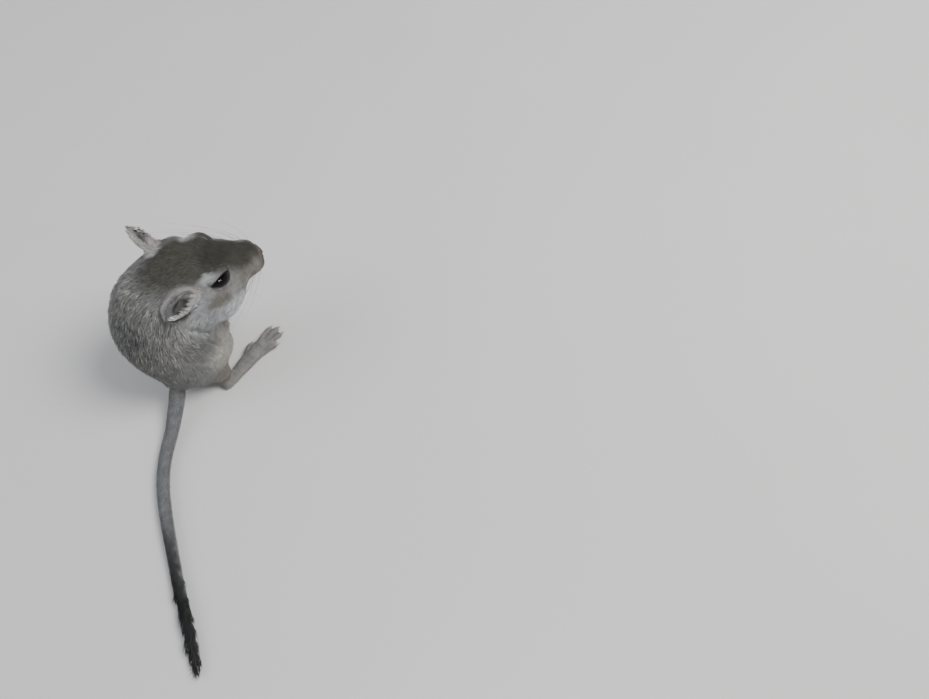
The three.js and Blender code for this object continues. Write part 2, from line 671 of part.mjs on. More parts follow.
function hindFoot(side, grow = 0) {
  const turned = footTurn[side > 0 ? 'left' : 'right'] * degrees
  const sided = ([ahead, left, up]) => {
    const [along, aside] = [ahead - footHeel[0], left - footHeel[1]]
    const outward = aside * Math.cos(turned) + along * Math.sin(turned)
    const onward = along * Math.cos(turned) - aside * Math.sin(turned)
    return [footHeel[0] + onward, footMiddle + (footHeel[1] + outward) * side, up]
  }
  const sole = limb({
    points: [footHeel, footMid, footBall].map(sided),
    radii: soleRadii, flatness: soleFlatness, sides: 10, rings: 5, grow })
  const digits = toes.map(({ angle, root, length }) => {
    const turn = angle * degrees
    const [ahead, left, up] = root
    const alongToe = (reach, height) => [ahead + reach * Math.cos(turn), left + reach * Math.sin(turn), height]
    const tip = alongToe(length, up - toeDip)
    const knuckle = alongToe(length * knuckleShare, up + knuckleRise)
    const point = alongToe(length + clawLength, clawHeight)
    const digit = limb({ points: [root, knuckle, tip].map(sided), radii: toeRadii, sides: 6, rings: 3, grow })
    const claw = limb({
      points: [tip, point].map(sided), radii: clawRadii, sides: 4, rings: 1, grow, ends: 'flat' })
    return digit.add(claw)
  })
  return join([sole, ...digits]).subtract(floorBlock)
}

const headRoom = headSpace(gap / 2)
let trunk = trunkWhole.subtract(floorBlock).subtract(headRoom)
let neck = trunk.intersect(neckSpace(-gap / 2))
trunk = trunk.subtract(neckSpace(gap / 2)).subtract(tailPiece(0, 0.3, gap))
const sides = [['left', 1], ['right', -1]]
const noseRoom = noseHalf.map((size) => size + gap)
let head = solid(headSurface).intersect(headSpace(-gap / 2)).subtract(ballSolid(noseAt, noseRoom, 2, headFrame))
let nose = ballSolid(noseAt, noseHalf, 2, headFrame)
for (const [name, side] of sides) {
  const foot = hindFoot(side)
  const footRoom = hindFoot(side, gap)
  const arm = foreleg(side)
  const paw = forepaw(side)
  const armRoom = foreleg(side, gap)
  const haunch = trunk.intersect(haunchSpace(side, -gap / 2)).subtract(footRoom).subtract(armRoom)
  addNode(`hind_leg_${name}`, haunch, coat)
  addNode(`hind_foot_${name}`, foot, palePaw)
  trunk = trunk.subtract(haunchSpace(side, gap / 2)).subtract(footRoom).subtract(armRoom)
  neck = neck.subtract(armRoom)
  addNode(`foreleg_${name}`, arm.subtract(forepaw(side, gap)).subtract(headRoom), coat)
  addNode(`forepaw_${name}`, paw, palePaw)
  head = head.subtract(eyeSocket(side)).subtract(eyeOpeningSolid(side)).subtract(mouthLine(side))
  nose = nose.subtract(ballSolid(mirrored(nostril.at, side), nostril.half, 2, headFrame))
  addNode(`eye_${name}`, ballSolid(mirrored(eyeAt, side), Array(3).fill(eyeRadius), 3, headFrame), darkEye)
  addNode(`ear_${name}`, earSolid(ears[name]), bareSkin)
}
addNode('torso', trunk, coat)
addNode('neck', neck, coat)
addNode('head', head, coat)
addNode('nose', nose, bareSkin)
const tailNames = ['tail_base', 'tail_middle', 'tail_tip']
const slit = gap / tailLength
tailNames.forEach((name, n) => {
  const from = tailParts[n] + (n ? slit : 0)
  const last = n === tailNames.length - 1
  addNode(name, last ? tuftedTip(from) : tailPiece(from, tailParts[n + 1]), coat)
})

// The origin goes under the middle of the whole, on the floor
const bounds = new THREE.Box3().setFromObject(group)
const middle = bounds.getCenter(new THREE.Vector3()).setZ(bounds.min.z)
group.children.forEach(({ geometry }) => geometry.translate(-middle.x, -middle.y, -middle.z))

export default group
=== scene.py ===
import math

import bpy
import numpy as np
from mathutils import Matrix, Vector
from mathutils.bvhtree import BVHTree
from mathutils.kdtree import KDTree


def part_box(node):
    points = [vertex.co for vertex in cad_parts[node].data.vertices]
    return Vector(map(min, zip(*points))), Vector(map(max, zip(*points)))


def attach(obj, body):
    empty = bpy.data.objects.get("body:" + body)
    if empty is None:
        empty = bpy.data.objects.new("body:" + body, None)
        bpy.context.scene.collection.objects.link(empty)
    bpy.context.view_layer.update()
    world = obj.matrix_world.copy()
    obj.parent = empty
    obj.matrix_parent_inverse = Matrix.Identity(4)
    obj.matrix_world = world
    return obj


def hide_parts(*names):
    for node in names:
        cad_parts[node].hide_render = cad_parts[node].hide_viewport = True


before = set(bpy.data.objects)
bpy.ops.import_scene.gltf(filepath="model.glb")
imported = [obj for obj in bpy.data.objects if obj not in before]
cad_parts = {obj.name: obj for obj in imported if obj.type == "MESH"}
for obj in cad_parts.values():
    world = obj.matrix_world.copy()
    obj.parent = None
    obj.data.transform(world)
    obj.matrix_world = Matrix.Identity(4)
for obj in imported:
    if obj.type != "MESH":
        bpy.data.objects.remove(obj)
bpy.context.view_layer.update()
mm = 0.001
print("frame loaded")

# A young gerbil that sits hunched on its haunches.
# Places are written (ahead, left, up) in mm. Body places count from the floor under the
# root of the tail, head places from the middle of the head, in its own turned axes. Lengths are
# in mm, angles in degrees, and sides are 1 for left and -1 for right. Where a value is a pair of
# numbers, it is mostly the span over which an effect comes or goes

headPose = {
    "turnRight": 27.4,
    "nod": 9.8,
    "tilt": 9.6,
    "at": (30.3, 0.6, 36.3),
    "eyeAt": (1.78, 5.43, 4.65),
    "eyeRadius": 3.5,
    "eyeLooks": (0.33, 0.85, 0.42),
}


def asVector(place):
    return Vector((place[1], -place[0], place[2])) * mm


def sided(place, side):
    return (place[0], place[1] * side, place[2])


def middleOf(node):
    low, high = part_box(node)
    return (low + high) / 2


headTurn = (Matrix.Rotation(-math.radians(headPose["turnRight"]), 3, "Z")
            @ Matrix.Rotation(math.radians(headPose["nod"]), 3, "X")
            @ Matrix.Rotation(-math.radians(headPose["tilt"]), 3, "Y"))
headOrigin = middleOf("eye_right") - headTurn @ asVector(sided(headPose["eyeAt"], -1))
bodyOrigin = headOrigin - asVector(headPose["at"])


def bodyPoint(*place):
    return bodyOrigin + asVector(place)


def headPoint(*place):
    return headOrigin + headTurn @ asVector(place)


def bodyWay(*way):
    return asVector(way).normalized()


def headWay(*way):
    return (headTurn @ asVector(way)).normalized()


def asPlaces(rows):
    return np.stack([-rows[:, 1], rows[:, 0], rows[:, 2]], 1)


def inHead(points):
    return asPlaces((points - np.array(headOrigin)) @ np.array(headTurn)) / mm


def inBody(points):
    return asPlaces(points - np.array(bodyOrigin)) / mm


def waysInHead(ways):
    return asPlaces(ways @ np.array(headTurn))


def fromHead(places):
    turned = np.stack([places[:, 1], -places[:, 0], places[:, 2]], 1) * mm
    return turned @ np.array(headTurn).T + np.array(headOrigin)


def waysFromHead(ways):
    return unitRows(fromHead(ways) - np.array(headOrigin))


# Camera, where the photograph's stood

camera = {
    "from": (-21.9, -117.3, 205.0),
    "pitch": 65.0,
    "heading": -150.0,
    "focalPixels": 676.0,
    "pixelsWide": 929.0,
    "sensor": 36.0,
    "clipStart": 0.005,
}

bpy.ops.object.camera_add(location=bodyPoint(*camera["from"]))
photoCamera = bpy.context.object
photoCamera.name = "photoCamera"
photoCamera.rotation_euler = (math.radians(90 - camera["pitch"]), 0, math.radians(camera["heading"]))
photoCamera.data.sensor_fit = "HORIZONTAL"
photoCamera.data.sensor_width = camera["sensor"]
photoCamera.data.lens = camera["sensor"] * camera["focalPixels"] / camera["pixelsWide"]
photoCamera.data.clip_start = camera["clipStart"]
bpy.context.scene.camera = photoCamera
print("camera set")


def deselectAll():
    if bpy.context.object and bpy.context.object.mode != "OBJECT":
        bpy.ops.object.mode_set(mode="OBJECT")
    bpy.ops.object.select_all(action="DESELECT")


def activate(piece):
    deselectAll()
    piece.select_set(True)
    bpy.context.view_layer.objects.active = piece


def linkedObject(name, mesh):
    piece = bpy.data.objects.new(name, mesh)
    bpy.context.scene.collection.objects.link(piece)
    return piece


def editAll(piece):
    activate(piece)
    bpy.ops.object.mode_set(mode="EDIT")
    bpy.ops.mesh.select_all(action="SELECT")


def leaveEdit():
    bpy.ops.object.mode_set(mode="OBJECT")


def applyModifier(piece, kind, **values):
    activate(piece)
    bpy.ops.object.modifier_add(type=kind)
    modifier = piece.modifiers[-1]
    for name, value in values.items():
        setattr(modifier, name, value)
    bpy.ops.object.modifier_apply(modifier=modifier.name)


def placeApplied(piece):
    activate(piece)
    bpy.ops.object.transform_apply(location=True, rotation=True, scale=True)


def joinPieces(pieces, name):
    deselectAll()
    for piece in pieces:
        piece.select_set(True)
    bpy.context.view_layer.objects.active = pieces[0]
    bpy.ops.object.join()
    joined = bpy.context.object
    joined.name = name
    joined.data.name = name
    return joined


def pointsOf(mesh):
    flat = np.empty(len(mesh.vertices) * 3, np.float32)
    mesh.vertices.foreach_get("co", flat)
    return flat.reshape(-1, 3).astype(float)


def setPoints(mesh, points):
    mesh.vertices.foreach_set("co", points.astype(np.float32).ravel())
    mesh.update()


def normalsOf(mesh):
    flat = np.empty(len(mesh.vertices) * 3, np.float32)
    mesh.vertex_normals.foreach_get("vector", flat)
    return flat.reshape(-1, 3).astype(float)


def setAttribute(mesh, name, values):
    attribute = mesh.attributes.new(name, "FLOAT", "POINT")
    attribute.data.foreach_set("value", values.astype(np.float32))


def easeBetween(values, low, high):
    t = np.clip((values - low) / (high - low), 0, 1)
    return t * t * (3 - 2 * t)


def bell(values, middle, width):
    return np.exp(-((values - middle) / width) ** 2)


def rowDots(first, second):
    return np.einsum("ij,ij->i", first, second)


def unitRows(rows):
    return rows / np.maximum(np.linalg.norm(rows, axis=1), 1e-9)[:, None]


def distanceTo(points, place):
    return np.linalg.norm(points - np.array(place), axis=1) / mm


def treeOf(places):
    tree = KDTree(len(places))
    for n, place in enumerate(places):
        tree.insert(Vector(place), n)
    tree.balance()
    return tree


def joinedNodes(names):
    corners, faces = [], []
    for name in names:
        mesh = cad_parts[name].data
        start = len(corners)
        corners.extend(v.co.copy() for v in mesh.vertices)
        faces.extend([start + i for i in face.vertices] for face in mesh.polygons)
    return corners, faces


def nodeWeights(points, names, near, far):
    tree = BVHTree.FromPolygons(*joinedNodes(names))
    reach = np.array([tree.find_nearest(Vector(p))[3] for p in points]) / mm
    return 1 - easeBetween(reach, near, far)


# Skin: the solids of flesh, closed over their cuts, smoothed and sunk by the depth of the coat

skin = {
    "weld": 1e-6,  # in metres
    "swell": 0.22,  # closes the cuts between the solids
    "voxel": 0.42,
    "smoothing": 22,
    "levels": 10,  # steps of smoothing, from none to full
    "finest": 0.9,
    "restoring": 30,
    "restoredAtMost": 1.5,
    "face": (-9, 4),  # ahead on the head, where the coat gets thin
    "bodyCoat": 1.0,
    "faceCoat": 0.35,
    "tailCoat": 0.35,
    "earCoat": 0.2,
    "floor": 0.02,
}
# Areas of the skin: their nodes, the distance in mm over which they fade, and how little smoothing
# they get
areas = {
    "earness": (["ear_left", "ear_right"], (0.3, 1.3), 0.8),
    "pawness": (["forepaw_left", "forepaw_right", "hind_foot_left", "hind_foot_right"], (0.3, 1.5), 0.8),
    "tailness": (["tail_base", "tail_middle", "tail_tip"], (0.3, 3.0), 0.65),
    "noseness": (["nose"], (0.3, 1.2), 0.3),
    "headness": (["head"], (0.5, 2.5), 0.0),
    "legness": (["hind_leg_left", "hind_leg_right"], (0.5, 2.5), 0.0),
}
copies = []
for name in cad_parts:
    copy = linkedObject("flesh_" + name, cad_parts[name].data.copy())
    copies.append(copy)
    editAll(copy)
    bpy.ops.mesh.remove_doubles(threshold=skin["weld"])
    bpy.ops.transform.shrink_fatten(value=skin["swell"] * mm)
    leaveEdit()
skinPiece = joinPieces(copies, "skin")
skinPiece.data.materials.clear()
applyModifier(skinPiece, "REMESH", mode="VOXEL", voxel_size=skin["voxel"] * mm)

skinPoints = pointsOf(skinPiece.data)
weights = {name: nodeWeights(skinPoints, nodes, *reach) for name, (nodes, reach, _) in areas.items()}
for name, values in weights.items():
    setAttribute(skinPiece.data, name, values)
fineness = sum(fine * weights[name] for name, (_, _, fine) in areas.items())
fineness = np.clip(fineness, 0, skin["finest"])
groupSmooth = skinPiece.vertex_groups.new(name="smooth")
for level in range(skin["levels"] + 1):
    members = np.nonzero(np.round((1 - fineness) * skin["levels"]).astype(int) == level)[0]
    groupSmooth.add([int(n) for n in members], level / skin["levels"], "REPLACE")
applyModifier(skinPiece, "SMOOTH", factor=0.5, iterations=skin["smoothing"], vertex_group="smooth")

# Smoothing draws narrow places in, so the skin is moved back, evenly over each patch, to the solids
fleshTree = BVHTree.FromPolygons(*joinedNodes(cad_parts))
skinPoints = pointsOf(skinPiece.data)
drawnIn = np.empty(len(skinPoints))
for n, point in enumerate(skinPoints):
    near, normal, _, _ = fleshTree.find_nearest(Vector(point))
    drawnIn[n] = (Vector(point) - near).dot(normal) / mm
drawnIn = np.clip(drawnIn, -skin["restoredAtMost"], skin["restoredAtMost"])
ends = np.empty(len(skinPiece.data.edges) * 2, np.int32)
skinPiece.data.edges.foreach_get("vertices", ends)
first, second = ends.reshape(-1, 2).T
degree = np.bincount(ends, minlength=len(skinPoints))
for _ in range(skin["restoring"]):
    around = np.bincount(first, drawnIn[second], len(skinPoints))
    around += np.bincount(second, drawnIn[first], len(skinPoints))
    drawnIn = 0.5 * drawnIn + 0.5 * around / degree
setPoints(skinPiece.data, skinPoints - normalsOf(skinPiece.data) * drawnIn[:, None] * mm)

# Finer faces where the eyes, nose, mouth, ears and toes are worked
finer = {"eye": 5.8, "muzzleFrom": 10.5, "toesFrom": 24.0}
skinPoints = pointsOf(skinPiece.data)
headed = inHead(skinPoints)
onToes = (weights["pawness"] > 0.5) & (inBody(skinPoints)[:, 0] > finer["toesFrom"])
close = (weights["earness"] > 0.5) | onToes
close = close | ((headed[:, 0] > finer["muzzleFrom"]) & (weights["headness"] + weights["noseness"] > 0.5))
for side in (1, -1):
    centre = np.array(sided(headPose["eyeAt"], side))
    close = close | (np.linalg.norm(headed - centre, axis=1) < finer["eye"])
editAll(skinPiece)
bpy.ops.mesh.select_mode(type="FACE")
bpy.ops.mesh.select_all(action="DESELECT")
leaveEdit()
flags = np.array([all(close[n] for n in face.vertices) for face in skinPiece.data.polygons])
skinPiece.data.polygons.foreach_set("select", flags)
bpy.ops.object.mode_set(mode="EDIT")
bpy.ops.mesh.subdivide(number_cuts=1)
leaveEdit()


def readAttribute(mesh, name):
    values = np.empty(len(mesh.vertices), np.float32)
    mesh.attributes[name].data.foreach_get("value", values)
    return values.astype(float)


skinPoints = pointsOf(skinPiece.data)
earness, pawness, tailness, noseness, headness, legness = (
    readAttribute(skinPiece.data, name) for name in weights)
for name in weights:
    skinPiece.data.attributes.remove(skinPiece.data.attributes[name])
onFace = easeBetween(inHead(skinPoints)[:, 0], *skin["face"]) * headness
bareness = np.clip(earness + pawness + noseness, 0, 1)
depth = skin["bodyCoat"] + (skin["faceCoat"] - skin["bodyCoat"]) * onFace
depth = depth + (skin["tailCoat"] - depth) * tailness
depth = depth * (1 - bareness) + skin["earCoat"] * earness
skinPoints = skinPoints - normalsOf(skinPiece.data) * depth[:, None] * mm
skinPoints[:, 2] = np.maximum(skinPoints[:, 2], skin["floor"] * mm)
setPoints(skinPiece.data, skinPoints)
print("skin shaped,", len(skinPiece.data.polygons), "faces")

# Lids: the skin is drawn up round an almond over each ball, and kept under the ball inside it.
# The almond's edges are places (ahead, up) in mm along the ball from its middle

lids = {
    "upper": [(-4.2, -1.3), (-3.16, -0.25), (-2.01, 0.9), (-0.54, 1.6), (1.36, 1.75), (2.9, 1.4),
              (4.35, 0.75)],
    "lower": [(-4.2, -1.3), (-2.82, -1.65), (-0.98, -1.88), (0.59, -1.6), (1.84, -0.98), (2.9, -0.25),
              (4.35, 0.75)],
    "steps": 22,
    "measured": 9.0,  # places farther off are left alone
    "measuredFacing": -0.3,
    "under": 0.7,  # below the face of the ball, inside the almond
    "thickness": 0.3,  # over it, at the edge
    "edge": (-0.3, 0.06),  # outside the almond, as the values down to blend
    "swell": 0.14,
    "swellTo": 0.5,
    "fold": 0.14,
    "foldAt": 1.15,
    "foldWidth": 0.25,
    "blend": (0.6, 2.4),
    "blendFacing": (0.1, 0.35),
    "facingFrom": 0.05,
    "off": (2.2, 3.5),  # above the face of the ball
    "rim": (0.18, 0.42),
    "rimOff": 2,
}
eyeNames = {1: "eye_left", -1: "eye_right"}


def unitPlace(place):
    size = math.sqrt(sum(value * value for value in place))
    return np.array(place) / size


def eyeAxes(side):
    looks = unitPlace(sided(headPose["eyeLooks"], side))
    along = np.array([1.0, 0, 0]) - looks * looks[0]
    along = along / np.linalg.norm(along)
    top = np.cross(looks, along)
    if top[2] < 0:
        top = -top
    return looks, along, top


def bowTerms(t):
    return np.stack([t * (1 - t), t ** 2 * (1 - t), t ** 3 * (1 - t)], 1)


def lidCurve(points):
    # The curve meets the corners of the eye and bows between them as the points do
    across, rise = np.array(points).T
    start, end = points[0], points[-1]
    share = (across - start[0]) / (end[0] - start[0])
    bow = rise - (start[1] + (end[1] - start[1]) * share)
    factors = np.linalg.lstsq(bowTerms(share), bow, rcond=None)[0]
    t = np.linspace(0, 1, lids["steps"] + 1)
    drawn = bowTerms(t) @ factors
    return np.stack([start[0] + (end[0] - start[0]) * t, start[1] + (end[1] - start[1]) * t + drawn], 1)


upperLid, lowerLid = lidCurve(lids["upper"]), lidCurve(lids["lower"])
almond = np.concatenate([upperLid, lowerLid[::-1][1:-1]])


def lidEdge(places, side):
    # Distance in mm outside the almond, less than nought within it, how far the place faces out,
    # its distance from the middle of the ball and its height on the ball
    looks, along, top = eyeAxes(side)
    reached = places - np.array(sided(headPose["eyeAt"], side))
    far = np.linalg.norm(reached, axis=1)
    ways = reached / np.maximum(far, 1e-6)[:, None]
    facing = ways @ looks
    flat = np.stack([np.arctan2(ways @ along, facing), np.arcsin(np.clip(ways @ top, -1, 1))], 1)
    flat = flat * headPose["eyeRadius"]
    outside = np.full(len(places), lids["measured"])
    close = np.nonzero((far < lids["measured"]) & (facing > lids["measuredFacing"]))[0]
    spots = flat[close]
    nearest = np.full(len(spots), lids["measured"])
    for start, end in zip(almond, np.roll(almond, -1, axis=0)):
        span = end - start
        share = np.clip((spots - start) @ span / (span @ span), 0, 1)
        nearest = np.minimum(nearest, np.linalg.norm(spots - start - share[:, None] * span, axis=1))
    across, rise = spots.T
    within = (rise < np.interp(across, *upperLid.T)) & (rise > np.interp(across, *lowerLid.T))
    within = within & (across > almond[0][0]) & (across < upperLid[-1][0])
    outside[close] = np.where(within, -nearest, nearest)
    return outside, facing, far, flat[:, 1]


headed = inHead(skinPoints)
lidRim = np.zeros(len(headed))
radius = headPose["eyeRadius"]
for side in (1, -1):
    outside, facing, far, height = lidEdge(headed, side)
    wall = radius - lids["under"] + (lids["under"] + lids["thickness"]) * easeBetween(outside, *lids["edge"])
    wall = wall + lids["swell"] * easeBetween(outside, lids["edge"][1], lids["swellTo"])
    wall = wall - lids["fold"] * bell(outside, lids["foldAt"], lids["foldWidth"]) * easeBetween(height, 0, 1)
    keep = easeBetween(outside, *lids["blend"]) + (1 - easeBetween(facing, *lids["blendFacing"]))
    keep = np.clip(keep + easeBetween(far, radius + lids["off"][0], radius + lids["off"][1]), 0, 1)
    keep = np.where(outside < 0, 0, keep)
    moved = wall + (far - wall) * keep
    chosen = (far < radius + lids["off"][1]) & (facing > lids["facingFrom"])
    centre = np.array(sided(headPose["eyeAt"], side))
    ways = (headed - centre) / np.maximum(far, 1e-6)[:, None]
    headed[chosen] = centre + ways[chosen] * moved[chosen][:, None]
    rim = (1 - easeBetween(outside, *lids["rim"])) * (far < radius + lids["rimOff"])
    lidRim = np.maximum(lidRim, rim)

# Mouth and nostrils: a fine groove with soft lips, and two small pits

mouth = {
    "route": [(18.1, 0, -3.1), (17.6, 0, -4.2), (16.2, 0.1, -6.1), (14.2, 1.67, -7.4), (11.5, 3.55, -7.7),
              (8.8, 5.2, -7.2)],
    "samples": 12,
    "depth": 0.5,
    "width": 0.4,
    "lip": 0.18,
    "lipAt": 1.0,  # from the middle of the groove
    "lipWidth": 0.45,
    "muzzleFrom": 5,
    "muzzleReach": 24,
}
nostril = {"from": (18.0, 0.85, -2.0), "to": (17.2, 1.85, -1.55), "samples": 5, "depth": 0.75, "width": 0.38}
headTree = treeOf(headed)


def nearestOnHead(place, side):
    return headed[headTree.find(Vector(sided(place, side)))[1]]


def gapTo(points, line):
    return np.linalg.norm(points[:, None] - line[None], axis=2).min(1)


line, pits = [], []
for side in (1, -1):
    corners = [nearestOnHead(place, side) for place in mouth["route"]]
    line.extend(np.linspace(a, b, mouth["samples"]) for a, b in zip(corners[:-1], corners[1:]))
    ends = [nearestOnHead(nostril[end], side) for end in ("from", "to")]
    pits.extend(np.linspace(*ends, nostril["samples"]))
muzzle = (headed[:, 0] > mouth["muzzleFrom"]) & (np.linalg.norm(headed, axis=1) < mouth["muzzleReach"])
gap = gapTo(headed[muzzle], np.concatenate(line))
groove = bell(gap, 0, mouth["width"])
lip = bell(gap, mouth["lipAt"], mouth["lipWidth"])
pit = bell(gapTo(headed[muzzle], np.array(pits)), 0, nostril["width"])
carved = mouth["lip"] * lip - mouth["depth"] * groove - nostril["depth"] * pit
sculpted = headed.copy()
sculpted[muzzle] += waysInHead(normalsOf(skinPiece.data))[muzzle] * carved[:, None]
# The groove and the pits are painted dark as well, as painted shade in them
creased = np.zeros(len(headed))
creased[muzzle] = np.maximum(groove, pit)
setPoints(skinPiece.data, fromHead(sculpted))

# Ears: the inside of the cup, a hole in its middle, slate skin towards its tip, and the edge that
# hair covers

earCup = {
    "root": {1: (-9, 7.3, 5.9), -1: (-7.31, -9.2, 6.79)},
    "reach": {1: (-4.81, 7.21, 4.18), -1: (-7.73, -3.34, -1.88)},
    "opens": {1: (0.7, 0.1, 0.68), -1: (0.1, -0.55, 0.8)},
    "middle": (3.4, 0),
    "half": (5.2, 2.9),
    "edge": (0.85, 1.0),
    "deep": 3.0,  # how far below or above the cup a place still belongs to it
    "facing": (0.0, 0.4),
    "holeAt": {1: (5.2, 0.5), -1: (3.8, 0.5)},
    "holeHalf": {1: (1.9, 1.2), -1: (3.0, 1.5)},
    "holeEdge": (0.6, 1.2),
    "holeDepth": 0.7,
    # how dark the ear's hole is painted, as painted shade in it
    "holeShade": 0.9,
    "slateAlong": (2.8, 4.4),
    "slateSlant": 0.7,  # turns the edge of the slate area towards the cheek
    "slateEdge": (1.0, 1.2),
    "slateShare": {1: 0.35, -1: 1.0},
    "spread": 1.6,  # of the hair on the rim, aside against along
    "fringeMiddle": (2.8, 0.4),
    "fringeHalf": (5.2, 3.4),
    "fringeInner": (0.62, 0.8),
    "fringeOuter": (1.25, 1.5),
    "fringeAside": (0.8, 1.5),
    "fringeAlong": {1: (2.4, 3.2), -1: (-4.0, -3.2)},
    "fringeFacing": (-0.2, 0.3),
    "fringeWay": (0.75, 0.9, 0.1),  # towards the tip, over the cup and down
}


def overEllipse(along, aside, middle, half):
    return np.sqrt(((along - middle[0]) / half[0]) ** 2 + ((aside - middle[1]) / half[1]) ** 2)


earHole, earTone, earInside, earFringe = np.zeros((4, len(headed)))
earRadial, earFringeWay, earOpens = np.zeros((3, len(headed), 3))
facingWays = waysInHead(normalsOf(skinPiece.data))
for side in (1, -1):
    reach = unitPlace(earCup["reach"][side])
    opens = np.array(earCup["opens"][side])
    opens = unitPlace(opens - reach * (opens @ reach))
    wide = np.cross(opens, reach) * -side
    local = sculpted - np.array(earCup["root"][side])
    along, aside, height = local @ reach, local @ wide, local @ opens
    facing = facingWays @ opens
    onSide = (headed[:, 1] * side > 0) & (np.abs(height) < earCup["deep"])
    inner = onSide * easeBetween(facing, *earCup["facing"])
    fromMiddle = overEllipse(along, aside, earCup["middle"], earCup["half"])
    cup = 1 - easeBetween(fromMiddle, *earCup["edge"])
    earInside = np.maximum(earInside, cup * inner)
    fromHole = overEllipse(along, aside, earCup["holeAt"][side], earCup["holeHalf"][side])
    hole = 1 - easeBetween(fromHole, *earCup["holeEdge"])
    earHole = np.maximum(earHole, hole * inner)
    slate = easeBetween(along - earCup["slateSlant"] * aside, *earCup["slateAlong"])
    slate = slate * earCup["slateShare"][side]
    earTone = np.maximum(earTone, slate * inner * (1 - easeBetween(fromMiddle, *earCup["slateEdge"])))
    spread = (along - earCup["middle"][0])[:, None] * reach + aside[:, None] * wide * earCup["spread"]
    earRadial[onSide] = unitRows(spread[onSide])
    # The edge next to the cheek, where the hair lies back over the cup
    edge = overEllipse(along, aside, earCup["fringeMiddle"], earCup["fringeHalf"])
    fringe = easeBetween(edge, *earCup["fringeInner"]) * (1 - easeBetween(edge, *earCup["fringeOuter"]))
    fringe = fringe * easeBetween(aside, *earCup["fringeAside"])
    fringe = fringe * easeBetween(along, *earCup["fringeAlong"][side])
    earFringe = np.maximum(earFringe, fringe * onSide * easeBetween(facing, *earCup["fringeFacing"]))
    onward, across, down = earCup["fringeWay"]
    earFringeWay[onSide] = onward * reach - across * wide - down * opens
    earOpens[onSide] = opens
    sculpted = sculpted - (hole * inner * cup)[:, None] * opens * earCup["holeDepth"]
setPoints(skinPiece.data, fromHead(sculpted))
setAttribute(skinPiece.data, "bare", np.clip(earness + earInside + noseness + lidRim, 0, 1))
# Dark skin on the lids' rims, with painted shade in the mouth's groove, the nostrils and the ears' holes
setAttribute(skinPiece.data, "darkAndShade", np.clip(lidRim + creased + earCup["holeShade"] * earHole, 0, 1))
setAttribute(skinPiece.data, "nose", noseness)
setAttribute(skinPiece.data, "slate", earTone)
activate(skinPiece)
bpy.ops.object.shade_smooth()
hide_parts(*[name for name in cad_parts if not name.startswith("eye")])
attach(skinPiece, "root")
print("lids, mouth, nostrils and ears shaped")

# Eyes: a ball with a low cornea behind each pair of lids

eye = {"segments": 56, "rings": 28, "cornea": 0.2, "corneaEdge": (0.45, 0.97)}


def eyeBall(side):
    deselectAll()
    bpy.ops.mesh.primitive_uv_sphere_add(
        segments=eye["segments"], ring_count=eye["rings"], radius=headPose["eyeRadius"] * mm)
    ball = bpy.context.object
    looks = headWay(*sided(headPose["eyeLooks"], side))
    centre = headPoint(*sided(headPose["eyeAt"], side))
    ball.rotation_euler = looks.to_track_quat("Z", "Y").to_euler()
    ball.location = centre
    placeApplied(ball)
    points = pointsOf(ball.data)
    ways = unitRows(points - np.array(centre))
    swell = eye["cornea"] * easeBetween(ways @ np.array(looks), *eye["corneaEdge"])
    setPoints(ball.data, points + ways * swell[:, None] * mm)
    ball.name = "eyeBallLeft" if side > 0 else "eyeBallRight"
    activate(ball)
    bpy.ops.object.shade_smooth()
    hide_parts(eyeNames[side])
    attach(ball, "root")
    return ball


eyeBalls = [eyeBall(side) for side in (1, -1)]
print("eyes made")

# Claws: one curved claw drawn out of a ring, copied to each toe and finger.
# A hind toe is (spread, knuckle, length), a finger (spread, length, aside)

claws = {
    "sides": 8,
    "rings": [(0.75, 0.86), (0.7, 0.8), (0.6, 0.66)],
    "point": 0.45,
    "slimness": 0.85,
    "arch": 0.16,
    "hindToes": [(22, (25.4, 16.8), 5), (11, (27.6, 16.4), 6.6), (3, (28, 15.2), 7.2),
                 (-5, (27.6, 14), 6.4), (-18, (22.4, 13), 4)],
    "hindHeel": (11.4, 13.8),
    "hindTurn": {1: 16, -1: 0},  # outward, about the heel
    "hindMiddle": 4.6,
    "hindLength": 2.3,
    "hindWidth": 0.46,
    "hindSunk": 0.45,  # how deep the claw sits in the toe
    "hindUp": (1.1, 0.3),  # height of its start and its tip
    "palm": (32.6, 3.3, 20.4),
    "fingers": [(26, 2.6, 1.5), (9, 3.2, 0.5), (-8, 3.2, -0.5), (-25, 2.7, -1.5)],
    "foreMiddle": 4.4,
    "foreWidth": 0.34,
    "foreSunk": 0.25,
    "foreSlope": (0.8, 0.35),  # of the fingers, ahead and down
    "foreTip": (0.95, 1, 1.25),  # past the finger, ahead, outward and down
}
deselectAll()
bpy.ops.mesh.primitive_circle_add(vertices=claws["sides"], radius=1.0, fill_type="NGON")
clawModel = bpy.context.object
editAll(clawModel)
for climb, shrink in claws["rings"]:
    bpy.ops.mesh.extrude_region_move(TRANSFORM_OT_translate={"value": (0, 0, climb)})
    bpy.ops.transform.resize(value=(shrink, shrink, shrink))
bpy.ops.mesh.extrude_region_move(TRANSFORM_OT_translate={"value": (0, 0, claws["point"])})
bpy.ops.mesh.merge(type="CENTER")
bpy.ops.mesh.select_all(action="SELECT")
bpy.ops.mesh.normals_make_consistent(inside=False)
leaveEdit()
clawPoints = pointsOf(clawModel.data)
clawPoints[:, 2] /= clawPoints[:, 2].max()
clawPoints[:, 0] *= claws["slimness"]


